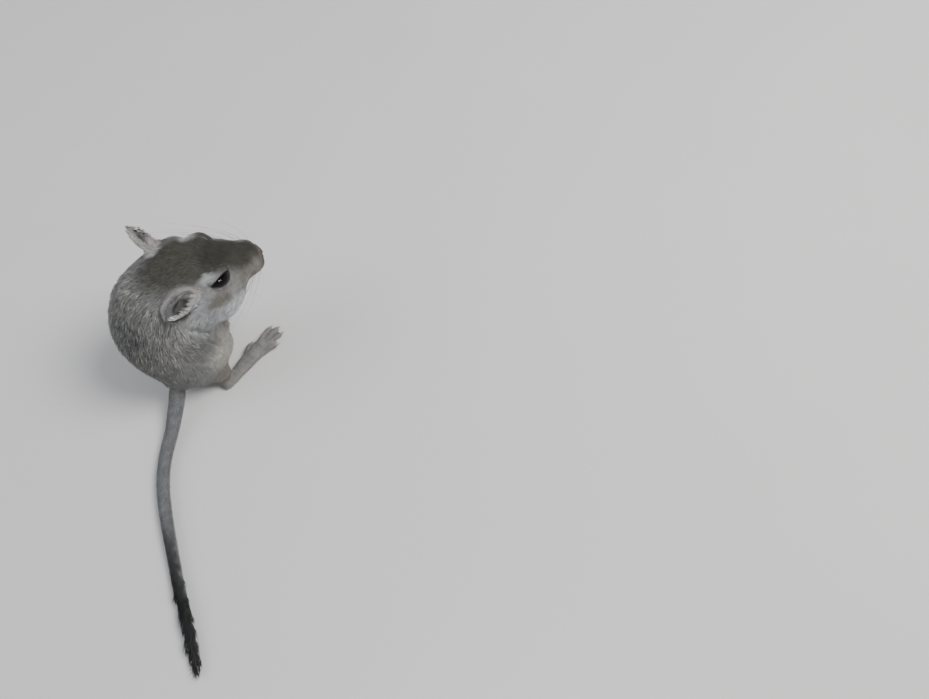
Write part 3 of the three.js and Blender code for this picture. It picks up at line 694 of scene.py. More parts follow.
def clawAt(start, end, width):
    claw = linkedObject("claw", clawModel.data.copy())
    way = end - start
    across = way.cross(Vector((0, 0, 1))).normalized()
    top = across.cross(way).normalized()
    t = clawPoints[:, 2:3]
    arch = top[:] * np.ones((len(t), 1)) * (claws["arch"] * way.length * 4 * t * (1 - t))
    placed = (np.array(start) + t * np.array(way) + clawPoints[:, 0:1] * width * mm * np.array(across)
              + clawPoints[:, 1:2] * width * mm * np.array(top) + arch)
    placed[:, 2] = np.maximum(placed[:, 2], 0)
    setPoints(claw.data, placed)
    return claw


def hindToePoint(side, ahead, left, up):
    turned = math.radians(claws["hindTurn"][side])
    heel, aside = claws["hindHeel"]
    onward = (ahead - heel) * math.cos(turned) - (left - aside) * math.sin(turned)
    outward = (left - aside) * math.cos(turned) + (ahead - heel) * math.sin(turned)
    return bodyPoint(heel + onward, claws["hindMiddle"] + (aside + outward) * side, up)


def hindClaw(side, spread, knuckle, length):
    turn = math.radians(spread)
    ahead, left = knuckle
    ends = (length - claws["hindSunk"], length + claws["hindLength"] - claws["hindSunk"])
    start, end = (hindToePoint(side, ahead + far * math.cos(turn), left + far * math.sin(turn), up)
                  for far, up in zip(ends, claws["hindUp"]))
    return clawAt(start, end, claws["hindWidth"])


def foreClaw(side, spread, length, aside):
    turn = math.radians(spread) * side
    ahead, left, up = claws["palm"]
    left = claws["foreMiddle"] + left * side + aside
    level, drop = claws["foreSlope"]
    tipAhead, tipOut, tipDown = claws["foreTip"]
    near = length - claws["foreSunk"]
    start = bodyPoint(ahead + near * math.cos(turn) * level, left + near * math.sin(turn), up - near * drop)
    end = bodyPoint(ahead + length * math.cos(turn) * level + tipAhead,
                    left + (length + tipOut) * math.sin(turn), up - length * drop - tipDown)
    return clawAt(start, end, claws["foreWidth"])


clawPieces = []
for side in (1, -1):
    clawPieces.extend([hindClaw(side, *toe) for toe in claws["hindToes"]])
    clawPieces.extend([foreClaw(side, *finger) for finger in claws["fingers"]])
bpy.data.objects.remove(clawModel)
clawPiece = joinPieces(clawPieces, "claws")
bpy.ops.object.shade_smooth()
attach(clawPiece, "root")
print("claws made")

# Shader helpers


def putNode(tree, kind, inputs=None, **settings):
    node = tree.nodes.new(kind)
    for name, value in settings.items():
        setattr(node, name, value)
    for key, value in (inputs or {}).items():
        if isinstance(value, bpy.types.NodeSocket):
            tree.links.new(value, node.inputs[key])
        else:
            node.inputs[key].default_value = value
    return node


def mixColour(tree, factor, first, second, way="MIX"):
    return putNode(tree, "ShaderNodeMix", {0: factor, 6: first, 7: second},
                   data_type="RGBA", blend_type=way).outputs[2]


def softStep(tree, value, low, high, first=0.0, last=1.0):
    return putNode(tree, "ShaderNodeMapRange", {0: value, 1: low, 2: high, 3: first, 4: last},
                   interpolation_type="SMOOTHSTEP").outputs[0]


def mathNode(tree, operation, first, second=0.0):
    return putNode(tree, "ShaderNodeMath", {0: first, 1: second}, operation=operation).outputs[0]


def vectorNode(tree, operation, first, second):
    return putNode(tree, "ShaderNodeVectorMath", {0: first, 1: second}, operation=operation).outputs[0]


def scaledVector(tree, vector, factor):
    return putNode(tree, "ShaderNodeVectorMath", {0: vector, "Scale": factor}, operation="SCALE").outputs[0]


def objectPlace(tree):
    return putNode(tree, "ShaderNodeTexCoord").outputs["Object"]


def noiseNode(tree, place, scale, detail):
    return putNode(tree, "ShaderNodeTexNoise", {"Vector": place, "Scale": scale, "Detail": detail}).outputs


def attributeValue(tree, name):
    return putNode(tree, "ShaderNodeAttribute", attribute_name=name).outputs["Fac"]


def solidColour(colour):
    return (colour[0], colour[1], colour[2], 1.0)


def newGroup(name, inputs, outputs):
    tree = bpy.data.node_groups.new(name, "ShaderNodeTree")
    for label, kind, value in inputs:
        tree.interface.new_socket(name=label, in_out="INPUT", socket_type=kind).default_value = value
    for label, kind in outputs:
        tree.interface.new_socket(name=label, in_out="OUTPUT", socket_type=kind)
    return tree, tree.nodes.new("NodeGroupInput"), tree.nodes.new("NodeGroupOutput")


def newMaterial(name, **sockets):
    material = bpy.data.materials.new(name)
    material.use_nodes = True
    shader = material.node_tree.nodes["Principled BSDF"]
    for label, value in sockets.items():
        shader.inputs[label.replace("_", " ")].default_value = value
    return material, material.node_tree, shader


def cloudsGroup():
    # Two colours in soft clouds
    tree, given, out = newGroup(
        "softClouds",
        [("Scale", "NodeSocketFloat", 1.0), ("Detail", "NodeSocketFloat", 2.0),
         ("Low", "NodeSocketFloat", 0.4), ("High", "NodeSocketFloat", 0.6),
         ("First", "NodeSocketColor", (0.5, 0.5, 0.5, 1)),
         ("Second", "NodeSocketColor", (0.5, 0.5, 0.5, 1))],
        [("Colour", "NodeSocketColor")])
    sockets = given.outputs
    cloud = noiseNode(tree, objectPlace(tree), sockets["Scale"], sockets["Detail"])["Fac"]
    mask = softStep(tree, cloud, sockets["Low"], sockets["High"])
    tree.links.new(mixColour(tree, mask, sockets["First"], sockets["Second"]), out.inputs["Colour"])
    return tree


cloudsTree = cloudsGroup()


def cloudedMaterial(name, look, **sockets):
    material, tree, shader = newMaterial(name, **sockets)
    clouds = putNode(tree, "ShaderNodeGroup", {
        "Scale": look["scale"], "Detail": look["detail"], "Low": look["edge"][0], "High": look["edge"][1],
        "First": solidColour(look["first"]), "Second": solidColour(look["second"])}, node_tree=cloudsTree)
    tree.links.new(clouds.outputs["Colour"], shader.inputs["Base Color"])
    return material


# Markings: soft spots of colour laid one over another. Head and pair rows count for both sides.
# Each row is (on, centre, half size, softness, colour, strength)

markings = {
    "ground": (0.20, 0.20, 0.195),
    "warp": 1.6,
    "warpNoise": (0.3, 3.0),
    "bodyMiddle": 6.0,
    "rows": [
        ("pair", (-3, 0, 30), (12, 8, 20), 0.5, (0.147, 0.148, 0.144), 0.8),
        ("pair", (16, 13, 34), (9, 7, 8), 0.5, (0.19, 0.188, 0.18), 0.6),
        ("pair", (28, 0, 17), (11, 9.5, 18), 0.35, (0.74, 0.725, 0.695), 0.95),
        ("pair", (17.5, 15, 16), (6.5, 8, 8), 0.45, (0.4, 0.38, 0.345), 0.9),
        ("pair", (15, 13, 24.5), (8, 8, 5), 0.5, (0.145, 0.146, 0.14), 0.9),
        ("pair", (12, 14, 5), (9, 7, 5), 0.4, (0.19, 0.17, 0.142), 0.8),
        ("pair", (22, 13, 0), (17, 9, 4.2), 0.25, (0.29, 0.28, 0.27), 0.95),
        ("pair", (32, 4, 19), (9, 6, 6), 0.3, (0.44, 0.425, 0.40), 0.8),
        ("body", (-81, -25, 0), (80, 200, 60), 0.02, (0.18, 0.187, 0.2), 0.9),
        ("head", (-4, 10, -6), (16, 6, 8.5), 0.35, (0.43, 0.435, 0.43), 0.85),
        ("head", (12, 5, -3), (7, 4.5, 5), 0.4, (0.27, 0.25, 0.225), 0.85),
        ("head", (-4, 0, 10), (15, 8.5, 8.5), 0.35, (0.062, 0.059, 0.047), 0.95),
        ("head", (8, 0, 4), (10, 5.4, 5), 0.3, (0.060, 0.055, 0.043), 0.95),
        ("head", (2.8, 0, 7), (5, 4.5, 4), 0.5, (0.043, 0.04, 0.032), 0.8),
        ("head", (14, 0, 0.8), (3.8, 3.2, 2.2), 0.4, (0.062, 0.056, 0.045), 0.9),
        ("head", (4, 0, -12), (17, 9, 6), 0.35, (0.62, 0.61, 0.59), 0.9),
        ("head", (1.5, 8.4, 2.2), (7, 3.4, 3), 0.4, (0.34, 0.325, 0.305), 0.9),
        ("head", (-1.2, 11, -0.6), (4.6, 3.6, 2.7), 0.5, (0.165, 0.15, 0.116), 0.85),
        ("head", (-5.6, 10, 2.0), (3.4, 2.6, 3.4), 0.5, (0.39, 0.41, 0.435), 0.85),
        ("head", (-7.5, 11.4, -2.6), (3.6, 3, 3.6), 0.5, (0.46, 0.47, 0.475), 0.8),
        ("head", (1.6, 11.6, -4.4), (7.2, 3.3, 3.2), 0.45, (0.68, 0.70, 0.725), 0.95),
        ("head", (-0.9, 7.2, 6.9), (3.0, 1.5, 1.9), 0.6, (0.50, 0.52, 0.53), 0.9),
        ("head", (17.4, 0, -1.6), (1.6, 2.4, 1.7), 0.35, (0.05, 0.042, 0.036), 0.9),
        ("head", (16.3, 2.7, -3.4), (1.7, 1.9, 2.0), 0.5, (0.14, 0.115, 0.1), 0.75),
        ("body", (24.2, 10.6, 47.4), (2.4, 2.6, 2.4), 0.4, (0.46, 0.49, 0.5), 0.85),
    ],
    "crestColour": (0.018, 0.018, 0.018),
    "crestUp": (1.6, 3.2),
    "crestAhead": (-41, -31),
    "crestStrength": 0.9,
    "endColour": (0.006, 0.006, 0.006),
    "endAhead": (-49, -40),
    "endStrength": 0.97,
    "mottleNoise": (0.55, 4.0),
    "mottleEdge": (0.3, 0.7),
    "mottle": (0.84, 1.16),
}


def markingsGroup():
    tree, _, out = newGroup("gerbilMarkings", [], [("Colour", "NodeSocketColor")])
    coordinates = objectPlace(tree)
    inMm = scaledVector(tree, coordinates, 1 / mm)
    noise = noiseNode(tree, inMm, *markings["warpNoise"])["Color"]
    shift = vectorNode(tree, "SUBTRACT", noise, (0.5, 0.5, 0.5))
    warp = scaledVector(tree, shift, markings["warp"] * 2)

    def placeVector(origin, turn, middle, paired):
        mapped = putNode(tree, "ShaderNodeMapping", {
            "Vector": coordinates, "Location": origin, "Rotation": turn, "Scale": (mm, mm, mm)},
            vector_type="TEXTURE")
        parts = putNode(tree, "ShaderNodeSeparateXYZ", {0: mapped.outputs[0]}).outputs
        left = mathNode(tree, "SUBTRACT", parts[0], middle)
        if paired:
            left = mathNode(tree, "ABSOLUTE", left)
        ahead = mathNode(tree, "MULTIPLY", parts[1], -1.0)
        joined = putNode(tree, "ShaderNodeCombineXYZ", {0: ahead, 1: left, 2: parts[2]}).outputs[0]
        return vectorNode(tree, "ADD", joined, warp)

    places = {
        "head": placeVector(headOrigin, headTurn.to_euler(), 0.0, True),
        "pair": placeVector(bodyOrigin, (0, 0, 0), markings["bodyMiddle"], True),
        "body": placeVector(bodyOrigin, (0, 0, 0), 0.0, False),
    }
    colour = solidColour(markings["ground"])
    for on, centre, half, softness, tone, strength in markings["rows"]:
        offset = vectorNode(tree, "SUBTRACT", places[on], centre)
        share = vectorNode(tree, "DIVIDE", offset, half)
        size = putNode(tree, "ShaderNodeVectorMath", {0: share}, operation="LENGTH").outputs["Value"]
        mask = softStep(tree, size, 1 - softness, 1 + softness, strength, 0.0)
        colour = mixColour(tree, mask, colour, solidColour(tone))
    bodyParts = putNode(tree, "ShaderNodeSeparateXYZ", {0: places["body"]}).outputs
    onTop = softStep(tree, bodyParts[2], *markings["crestUp"])
    back = softStep(tree, bodyParts[0], *markings["crestAhead"], 1.0, 0.0)
    end = softStep(tree, bodyParts[0], *markings["endAhead"], 1.0, 0.0)
    crest = mathNode(tree, "MULTIPLY", mathNode(tree, "MULTIPLY", onTop, back), markings["crestStrength"])
    end = mathNode(tree, "MULTIPLY", end, markings["endStrength"])
    colour = mixColour(tree, crest, colour, solidColour(markings["crestColour"]))
    colour = mixColour(tree, end, colour, solidColour(markings["endColour"]))
    mottle = noiseNode(tree, inMm, *markings["mottleNoise"])["Fac"]
    tone = softStep(tree, mottle, *markings["mottleEdge"], *markings["mottle"])
    tree.links.new(scaledVector(tree, colour, tone), out.inputs["Colour"])
    return tree


# Ticking: the tint of each part of a tuft, and where it starts and is full, along the tuft and by
# the tuft's shade

ticking = {
    "rootTint": (0.36, 0.37, 0.4),
    "rootAlong": (0.05, 0.4),
    "rootShare": 0.55,
    "bandTint": (2.15, 2.05, 1.8),
    "bandShade": (0.55, 0.98),
    "bandAlong": (0.15, 0.5),
    "tipTint": (0.3, 0.29, 0.28),
    "tipShade": (0.45, 0.05),
    "tipAlong": (0.3, 0.8),
}


def tickingGroup():
    # Root, band and tip of each tuft, from its own shade and the place along it
    tree, given, out = newGroup(
        "tickedHair",
        [("Colour", "NodeSocketColor", (0.5, 0.5, 0.5, 1)), ("Shade", "NodeSocketFloat", 0.5),
         ("Along", "NodeSocketFloat", 0.5)],
        [("Colour", "NodeSocketColor")])
    colour, shade, along = given.outputs["Colour"], given.outputs["Shade"], given.outputs["Along"]

    def tinted(part):
        return mixColour(tree, 1.0, colour, solidColour(ticking[part + "Tint"]), "MULTIPLY")

    rootMask = softStep(tree, along, *ticking["rootAlong"], ticking["rootShare"], 0.0)
    hair = mixColour(tree, rootMask, colour, tinted("root"))
    for part in ("band", "tip"):
        byShade = softStep(tree, shade, *ticking[part + "Shade"])
        share = mathNode(tree, "MULTIPLY", byShade, softStep(tree, along, *ticking[part + "Along"]))
        hair = mixColour(tree, share, hair, tinted(part))
    tree.links.new(hair, out.inputs["Colour"])
    return tree


markingsTree = markingsGroup()
tickingTree = tickingGroup()

furLook = {"pale": (0.49, 0.48, 0.455)}
coatMaterial, coatTree, coatShader = newMaterial(
    "tickedFur", Roughness=0.72, Specular_IOR_Level=0.3, Sheen_Weight=0.1, Sheen_Roughness=0.5)
marked = putNode(coatTree, "ShaderNodeGroup", node_tree=markingsTree).outputs["Colour"]
marked = mixColour(coatTree, attributeValue(coatTree, "pale"), marked, solidColour(furLook["pale"]))
ticked = putNode(coatTree, "ShaderNodeGroup", {
    "Colour": marked, "Shade": attributeValue(coatTree, "shade"), "Along": attributeValue(coatTree, "along")},
    node_tree=tickingTree)
coatTree.links.new(ticked.outputs["Colour"], coatShader.inputs["Base Color"])

skinLook = {
    # Underfur tint: the underfur's own slate grey, and painted shade from the coat over it
    "underfurAndShade": (0.62, 0.6, 0.58),
    "earSkin": (0.33, 0.295, 0.30),
    "earSlate": (0.09, 0.095, 0.105),
    "noseSkin": (0.055, 0.036, 0.032),
    # Dark skin of the lids' rims, also used as painted shade in the groove, the nostrils and the ears' holes
    "darkSkinAndShade": (0.012, 0.009, 0.01),
    "speckle": (0.16, 0.13, 0.13),
    "speckleEdge": (0.35, 0.65),
    "speckleShare": 0.35,
    "grain": 1.6,
    "grainDetail": 5.0,
    "bump": 0.35,
    "bumpDepth": 0.25,
}
skinMaterial, skinTree, skinShader = newMaterial("softSkin", Roughness=0.6)
bareMask, darkAndShadeMask, noseMask, slateMask = (
    attributeValue(skinTree, name) for name in ("bare", "darkAndShade", "nose", "slate"))
grain = noiseNode(skinTree, objectPlace(skinTree), skinLook["grain"] / mm, skinLook["grainDetail"])["Fac"]
marked = putNode(skinTree, "ShaderNodeGroup", node_tree=markingsTree).outputs["Colour"]
# Skin under the coat: the markings darkened, partly for the underfur's slate grey and partly as painted shade
# from the coat over it
under = mixColour(skinTree, 1.0, marked, solidColour(skinLook["underfurAndShade"]), "MULTIPLY")
skinColour = mixColour(
    skinTree, slateMask, solidColour(skinLook["earSkin"]), solidColour(skinLook["earSlate"]))
skinColour = mixColour(skinTree, noseMask, skinColour, solidColour(skinLook["noseSkin"]))
speckles = softStep(skinTree, grain, *skinLook["speckleEdge"], 0.0, skinLook["speckleShare"])
skinColour = mixColour(skinTree, speckles, skinColour, solidColour(skinLook["speckle"]))
skinColour = mixColour(skinTree, bareMask, under, skinColour)
# Dark skin on the lids' rims, and painted shade in the mouth's groove, the nostrils and the ears' holes
skinColour = mixColour(skinTree, darkAndShadeMask, skinColour, solidColour(skinLook["darkSkinAndShade"]))
skinTree.links.new(skinColour, skinShader.inputs["Base Color"])
skinBump = putNode(skinTree, "ShaderNodeBump", {
    "Height": grain, "Strength": skinLook["bump"], "Distance": skinLook["bumpDepth"] * mm}).outputs[0]
skinTree.links.new(skinBump, skinShader.inputs["Normal"])
skinPiece.data.materials.clear()
skinPiece.data.materials.append(skinMaterial)

eyeLook = {
    "first": (0.003, 0.0025, 0.003),
    "second": (0.008, 0.006, 0.005),
    "scale": 1.2 / mm,
    "detail": 4.0,
    "edge": (0.4, 0.75),
}
eyeMaterial = cloudedMaterial("wetEye", eyeLook, Roughness=0.03, IOR=1.376, Specular_IOR_Level=0.14)
for ball in eyeBalls:
    ball.data.materials.append(eyeMaterial)

clawLook = {
    "first": (0.3, 0.25, 0.2),
    "second": (0.5, 0.4, 0.36),
    "scale": 2.5 / mm,
    "detail": 2.0,
    "edge": (0.35, 0.65),
}
clawPiece.data.materials.append(cloudedMaterial("claw", clawLook, Roughness=0.35))
print("materials made")

# Coat: how the hair lies and how long it is, at places on the head and on the body.
# Each row is (place, way, length) and counts for both sides

coat = {
    "seed": 7,
    "block": 20000,  # places worked out at a time
    "nearest": 0.6,  # evens out the weight of a row close by
    "sink": 0.18,
    "cover": 3.2,  # how many tufts lie over each place
    "densest": 21.0,  # tufts in a square mm
    "finest": 0.06,
    "widthGrows": 0.072,  # with each mm of length
    "widest": 0.3,
    "lengthVaries": (0.78, 0.44),  # least share, and what chance adds to it
    "widthVaries": (0.75, 0.5),
    "swirl": 9.0,
    "waves": 8,
    "wavesReach": 2.4,  # height of the waves' sum
    "waveLength": (0.55, 0.6),
    "waveTurn": 6.28,  # a whole turn in radians
    "scatter": 7.0,
    "clumpEvery": 9,  # one tuft in so many leads a clump
    "clumpPull": 0.5,
    "clumpReach": 0.5,
    "clumpFullAt": 2,
    "clumpBend": (0.3, 0.7),  # of the pull, half way and at the tip
    "lift": 24.0,
    "liftVaries": (0.6, 0.8),
    "tipLift": 3,
    "tipScatter": 5,
    "looser": 1.25,  # on the cheeks and the rims of the ears
    "shades": (0.5, 0.62, 0.06),  # of the clump, of the tuft, and darker than both
    "calm": {"head": 0.65, "paws": 0.8, "tail": 0.5, "legs": 0.5},
    "calmest": 0.8,
    "cheek": (1.5, 11.5, -6),
    "cheekReach": 5.5,
    "pawHair": 0.65,
    "noseTip": (17.1, 17.8),  # ahead on the head, bare past it
    "lips": 0.75,
    "soleFacing": -0.45,
    "soleUp": 2.2,
    "bakePatch": 0.003,
    "floor": 0.02,
}
eyeHair = {
    "around": (0.4, 3.6),
    "facing": -0.2,
    "reach": 7,
    "away": 1.2,
    "back": 0.5,
    "shorter": 0.62,
    "bare": 0.2,  # outside the almond
    "bareReach": 6,
}
headLie = [
    ((16.5, 0.8, -0.3), (-1, 0.1, 0.35), 0.45),
    ((15.8, 3.0, -2.5), (-0.9, 0.5, -0.1), 0.5),
    ((14.5, 2.6, -6.5), (-0.75, 0.45, -0.5), 0.7),
    ((11, 0.8, 2.2), (-1, 0.05, 0.3), 0.85),
    ((9, 4, 0.5), (-1, 0.25, 0.1), 0.95),
    ((11.5, 5.2, -4), (-0.9, 0.35, -0.3), 1.0),
    ((9, 3, -9.5), (-1, 0.1, -0.2), 1.2),
    ((4, 3, 7), (-1, 0.05, 0.15), 1.15),
    ((-1, 2, 9.5), (-1, 0.02, 0.05), 1.5),
    ((-8, 2, 10.8), (-1, 0, -0.1), 1.9),
    ((-7, 7, 8.5), (-1, 0.2, -0.2), 1.8),
    ((-8, 9, 8), (-0.8, 0.35, -0.45), 2.3),
    ((-7, 11, 0.8), (-1, 0.1, 0.15), 2.2),
    ((-15, 2, 7), (-0.75, 0, -0.7), 2.6),
    ((-4, 9, 3.5), (-1, 0.15, -0.1), 1.3),
    ((2, 8.3, -1), (-0.9, 0.4, -0.5), 1.6),
    ((5, 10, -4), (-0.75, 0.7, -0.5), 2.6),
    ((-1, 11.5, -5), (-0.75, 0.5, -0.7), 3.3),
    ((-8, 11.5, -4), (-0.8, 0.15, -0.8), 3.2),
    ((-11, 10, 0), (-0.8, 0.15, -0.7), 2.8),
    ((0, 7, -10.5), (-0.95, 0.2, -0.3), 2.0),
    ((0, 1, -11.5), (-1, 0, -0.3), 2.2),
]
bodyLie = [
    ((8, 0, 40), (-0.6, 0, -0.8), 2.9),
    ((2, 0, 33), (-0.35, 0.05, -1), 3.2),
    ((0, 0, 24), (-0.1, 0.05, -1), 3.4),
    ((0, 0, 15), (0, 0, -1), 3.3),
    ((1, 0, 8), (-0.6, 0, -0.8), 2.5),
    ((14, 12, 36), (-0.25, 0.25, -1), 3.1),
    ((10, 13, 28), (0.1, 0.15, -1), 3.4),
    ((9, 12.5, 18), (0.15, 0.1, -1), 3.3),
    ((7, 11, 9), (-0.4, 0.2, -0.9), 2.5),
    ((24, 4, 28), (0.1, 0.1, -1), 2.7),
    ((27, 0, 16), (0, 0, -1), 3.0),
    ((25, 0, 6), (-0.5, 0, -0.8), 2.4),
    ((21, 6, 22), (0.35, 0.15, -0.9), 1.9),
    ((26, 5, 17.5), (1, -0.4, 0.27), 1.3),
    ((30, 3, 18.6), (0.9, -0.4, 0.4), 0.8),
    ((14, 9, 24), (0.1, 0.45, -0.9), 2.7),
    ((22, 10, 17), (0.3, 0.3, -0.9), 2.2),
    ((13, 16, 14), (-0.25, 0.1, -1), 2.4),
    ((13, 14, 7), (-0.3, 0.05, -0.9), 1.7),
    ((12, 13.5, 3.5), (-0.2, 0, -0.9), 1.1),
    ((20, 13, 2.5), (1, 0.05, 0), 0.7),
    ((30, 14, 1.8), (1, 0.05, 0), 0.55),
]
ears = {
    "outside": 0.75,
    "rim": 1.9,
    "rimNarrow": 1.5,  # power that narrows the rim
    "rimOutward": 1.6,
    "inside": 0.5,
    "insideFacing": (0.3, 0.7),
    "insideShare": 0.15,
    "holeBare": 0.3,
    "fringe": 2.7,
    "fringeFrom": 0.4,
    "fringeLoose": 0.6,
    "pale": (0.45, 0.9),  # all over, and what the rim adds
    "fringePale": 0.85,
}
tail = {
    "route": [(4, 1.2, 9), (-2.2, -1.3, 5.2), (-10.2, -4.9, 2.5), (-17.7, -8.4, 1.9), (-24.8, -13.5, 1.9),
              (-31.1, -19.9, 1.85), (-37.4, -27.3, 1.75), (-43.6, -34.7, 1.55), (-49.6, -42.5, 1.35),
              (-54.2, -48.4, 1.05), (-57.4, -52.4, 0.6)],
    "onTail": (0.5, 0.95),
    "hair": 1.15,
    "tuft": (0.58, 0.95),
    "tuftHair": 3.6,
    "tuftUnder": 0.35,
    "topFacing": (-0.3, 0.9),
}
bodyMiddle = markings["bodyMiddle"]
liePlaces, lieWays, lieLengths = [], [], []
for side in (1, -1):
    for place, way, length in headLie:
        liePlaces.append(headPoint(*sided(place, side)))
        lieWays.append(headWay(*sided(way, side)))
        lieLengths.append(length)
    for place, way, length in bodyLie:
        liePlaces.append(bodyPoint(place[0], bodyMiddle + place[1] * side, place[2]))
        lieWays.append(bodyWay(*sided(way, side)))
        lieLengths.append(length)
liePlaces, lieWays, lieLengths = np.array(liePlaces), np.array(lieWays), np.array(lieLengths)

skinPoints = pointsOf(skinPiece.data)
skinNormals = normalsOf(skinPiece.data)
count = len(skinPoints)
hairWay = np.zeros((count, 3))
hairLength = np.zeros(count)
for start in range(0, count, coat["block"]):
    part = slice(start, start + coat["block"])
    apart = np.linalg.norm(skinPoints[part, None] - liePlaces[None], axis=2) / mm
    weight = 1 / (apart ** 2 + coat["nearest"]) ** 2
    weight = weight / weight.sum(1)[:, None]
    hairWay[part] = weight @ lieWays
    hairLength[part] = weight @ lieLengths

# Round each eye the hair turns away from the lids and shortens towards them
headed = inHead(skinPoints)
lidBare = np.zeros(count, bool)
for side in (1, -1):
    outside, facing, far, _ = lidEdge(headed, side)
    near = 1 - easeBetween(outside, *eyeHair["around"])
    near = near * (facing > eyeHair["facing"]) * (far < eyeHair["reach"])
    centre = np.array(headPoint(*sided(headPose["eyeAt"], side)))
    away = unitRows(skinPoints - centre)
    back = np.array(headWay(-1, 0, 0))
    hairWay = hairWay + near[:, None] * (eyeHair["away"] * away + eyeHair["back"] * back)
    hairLength = hairLength * (1 - eyeHair["shorter"] * near)
    lidBare = lidBare | ((outside < eyeHair["bare"]) & (far < eyeHair["bareReach"]))

# Ears, paws and tail have a lie of their own
earRim = np.zeros(count)
outward = waysFromHead(earRadial)
for side in (1, -1):
    ofEar = earness * (np.sign(headed[:, 1]) == side)
    reach = np.array(headWay(*earCup["reach"][side]))
    facing = skinNormals @ np.array(headWay(*earCup["opens"][side]))
    onRim = (1 - np.abs(facing)) ** ears["rimNarrow"]
    earRim = np.maximum(earRim, ofEar * onRim)
    earWay = reach + outward * (ears["rimOutward"] * onRim)[:, None]
    hairWay = hairWay * (1 - ofEar)[:, None] + earWay * ofEar[:, None]
    length = ears["outside"] + (ears["rim"] - ears["outside"]) * onRim
    length = length + (ears["inside"] - length) * easeBetween(facing, *ears["insideFacing"])
    hairLength = hairLength + (length - hairLength) * ofEar
hairLength = hairLength + (ears["fringe"] - hairLength) * earFringe
tailPoints = np.array([bodyPoint(*place) for place in tail["route"]])
tailSteps = np.diff(tailPoints, axis=0)
tailSpans = np.linalg.norm(tailSteps, axis=1)
tailWays = unitRows(tailSteps)
tailMiddles = (tailPoints[1:] + tailPoints[:-1]) / 2
nearest = np.linalg.norm(skinPoints[:, None] - tailMiddles[None], axis=2).argmin(1)
share = rowDots(skinPoints - tailPoints[nearest], tailWays[nearest]) / tailSpans[nearest]
tailShare = np.clip((nearest + np.clip(share, 0, 1)) / len(tailWays), 0, 1)
onTop = easeBetween(skinNormals[:, 2], *tail["topFacing"])
tuftShare = easeBetween(tailShare, *tail["tuft"]) * (tail["tuftUnder"] + (1 - tail["tuftUnder"]) * onTop)
tailLength = tail["hair"] + (tail["tuftHair"] - tail["hair"]) * tuftShare
onTail = easeBetween(tailness, *tail["onTail"])
hairWay = hairWay * (1 - onTail)[:, None] + tailWays[nearest] * onTail[:, None]
hairLength = hairLength + (tailLength - hairLength) * onTail
hairLength = np.where(pawness > 0.5, np.minimum(hairLength, coat["pawHair"]), hairLength)

# No hair on the lids' rims, the lips, the tip of the nose, the soles and in the holes of the ears
noseTip = noseness * (creased + easeBetween(headed[:, 0], *coat["noseTip"])) > 0.5
sole = (skinNormals[:, 2] < coat["soleFacing"]) & (skinPoints[:, 2] < coat["soleUp"] * mm)
bald = lidBare | (creased > coat["lips"]) | noseTip | sole | (earHole > ears["holeBare"])
bald = bald | ((earInside > 0.5) & (earness < 0.5) & (earFringe < ears["fringeFrom"]))
hairWidth = np.minimum(coat["finest"] + coat["widthGrows"] * hairLength, coat["widest"])
density = np.minimum(coat["cover"] / (0.5 * hairLength * hairWidth), coat["densest"])
density = density * (1 - (1 - ears["insideShare"]) * earInside * (1 - earFringe)) * ~bald
print("lie of the coat laid out")

# Loose hair on the cheeks and the rims of the ears
fluffy = np.maximum(earRim, ears["fringeLoose"] * earFringe)
for side in (1, -1):
    apart = distanceTo(skinPoints, headPoint(*sided(coat["cheek"], side)))
    fluffy = np.maximum(fluffy, bell(apart, 0, coat["cheekReach"]))

# Roots, spread over the skin by that density
rng = np.random.default_rng(coat["seed"])
skinPiece.data.calc_loop_triangles()
triangles = np.empty(len(skinPiece.data.loop_triangles) * 3, np.int32)
skinPiece.data.loop_triangles.foreach_get("vertices", triangles)
triangles = triangles.reshape(-1, 3)
corners = skinPoints[triangles]
doubled = np.cross(corners[:, 1] - corners[:, 0], corners[:, 2] - corners[:, 0])
faceAreas = np.linalg.norm(doubled, axis=1) / 2 / mm ** 2
wanted = np.cumsum(faceAreas * density[triangles].mean(1))
tufts = int(wanted[-1])
chosen = np.searchsorted(wanted, (np.arange(tufts) + rng.random(tufts)) * wanted[-1] / tufts)
chosen = np.minimum(chosen, len(triangles) - 1)
first, second = np.sqrt(rng.random(tufts)), rng.random(tufts)
mixes = np.stack([1 - first, first * (1 - second), first * second], 1)


def atRoots(values):
    picked = values[triangles[chosen]]
    return (picked * (mixes[:, :, None] if values.ndim == 2 else mixes)).sum(1)


def varied(spread):
    least, more = spread
    return least + more * rng.random(tufts)


roots = atRoots(skinPoints)
rootNormals = unitRows(atRoots(skinNormals))
lengths = atRoots(hairLength) * varied(coat["lengthVaries"])
widths = atRoots(hairWidth) * varied(coat["widthVaries"])
ways = atRoots(hairWay)
ways = unitRows(ways - rootNormals * rowDots(ways, rootNormals)[:, None])
fringed = atRoots(earFringe) > ears["fringeFrom"]
rootNormals[fringed] = waysFromHead(atRoots(earOpens)[fringed])
ways[fringed] = waysFromHead(atRoots(earFringeWay)[fringed])
asides = np.cross(rootNormals, ways)
print(tufts, "tufts rooted")

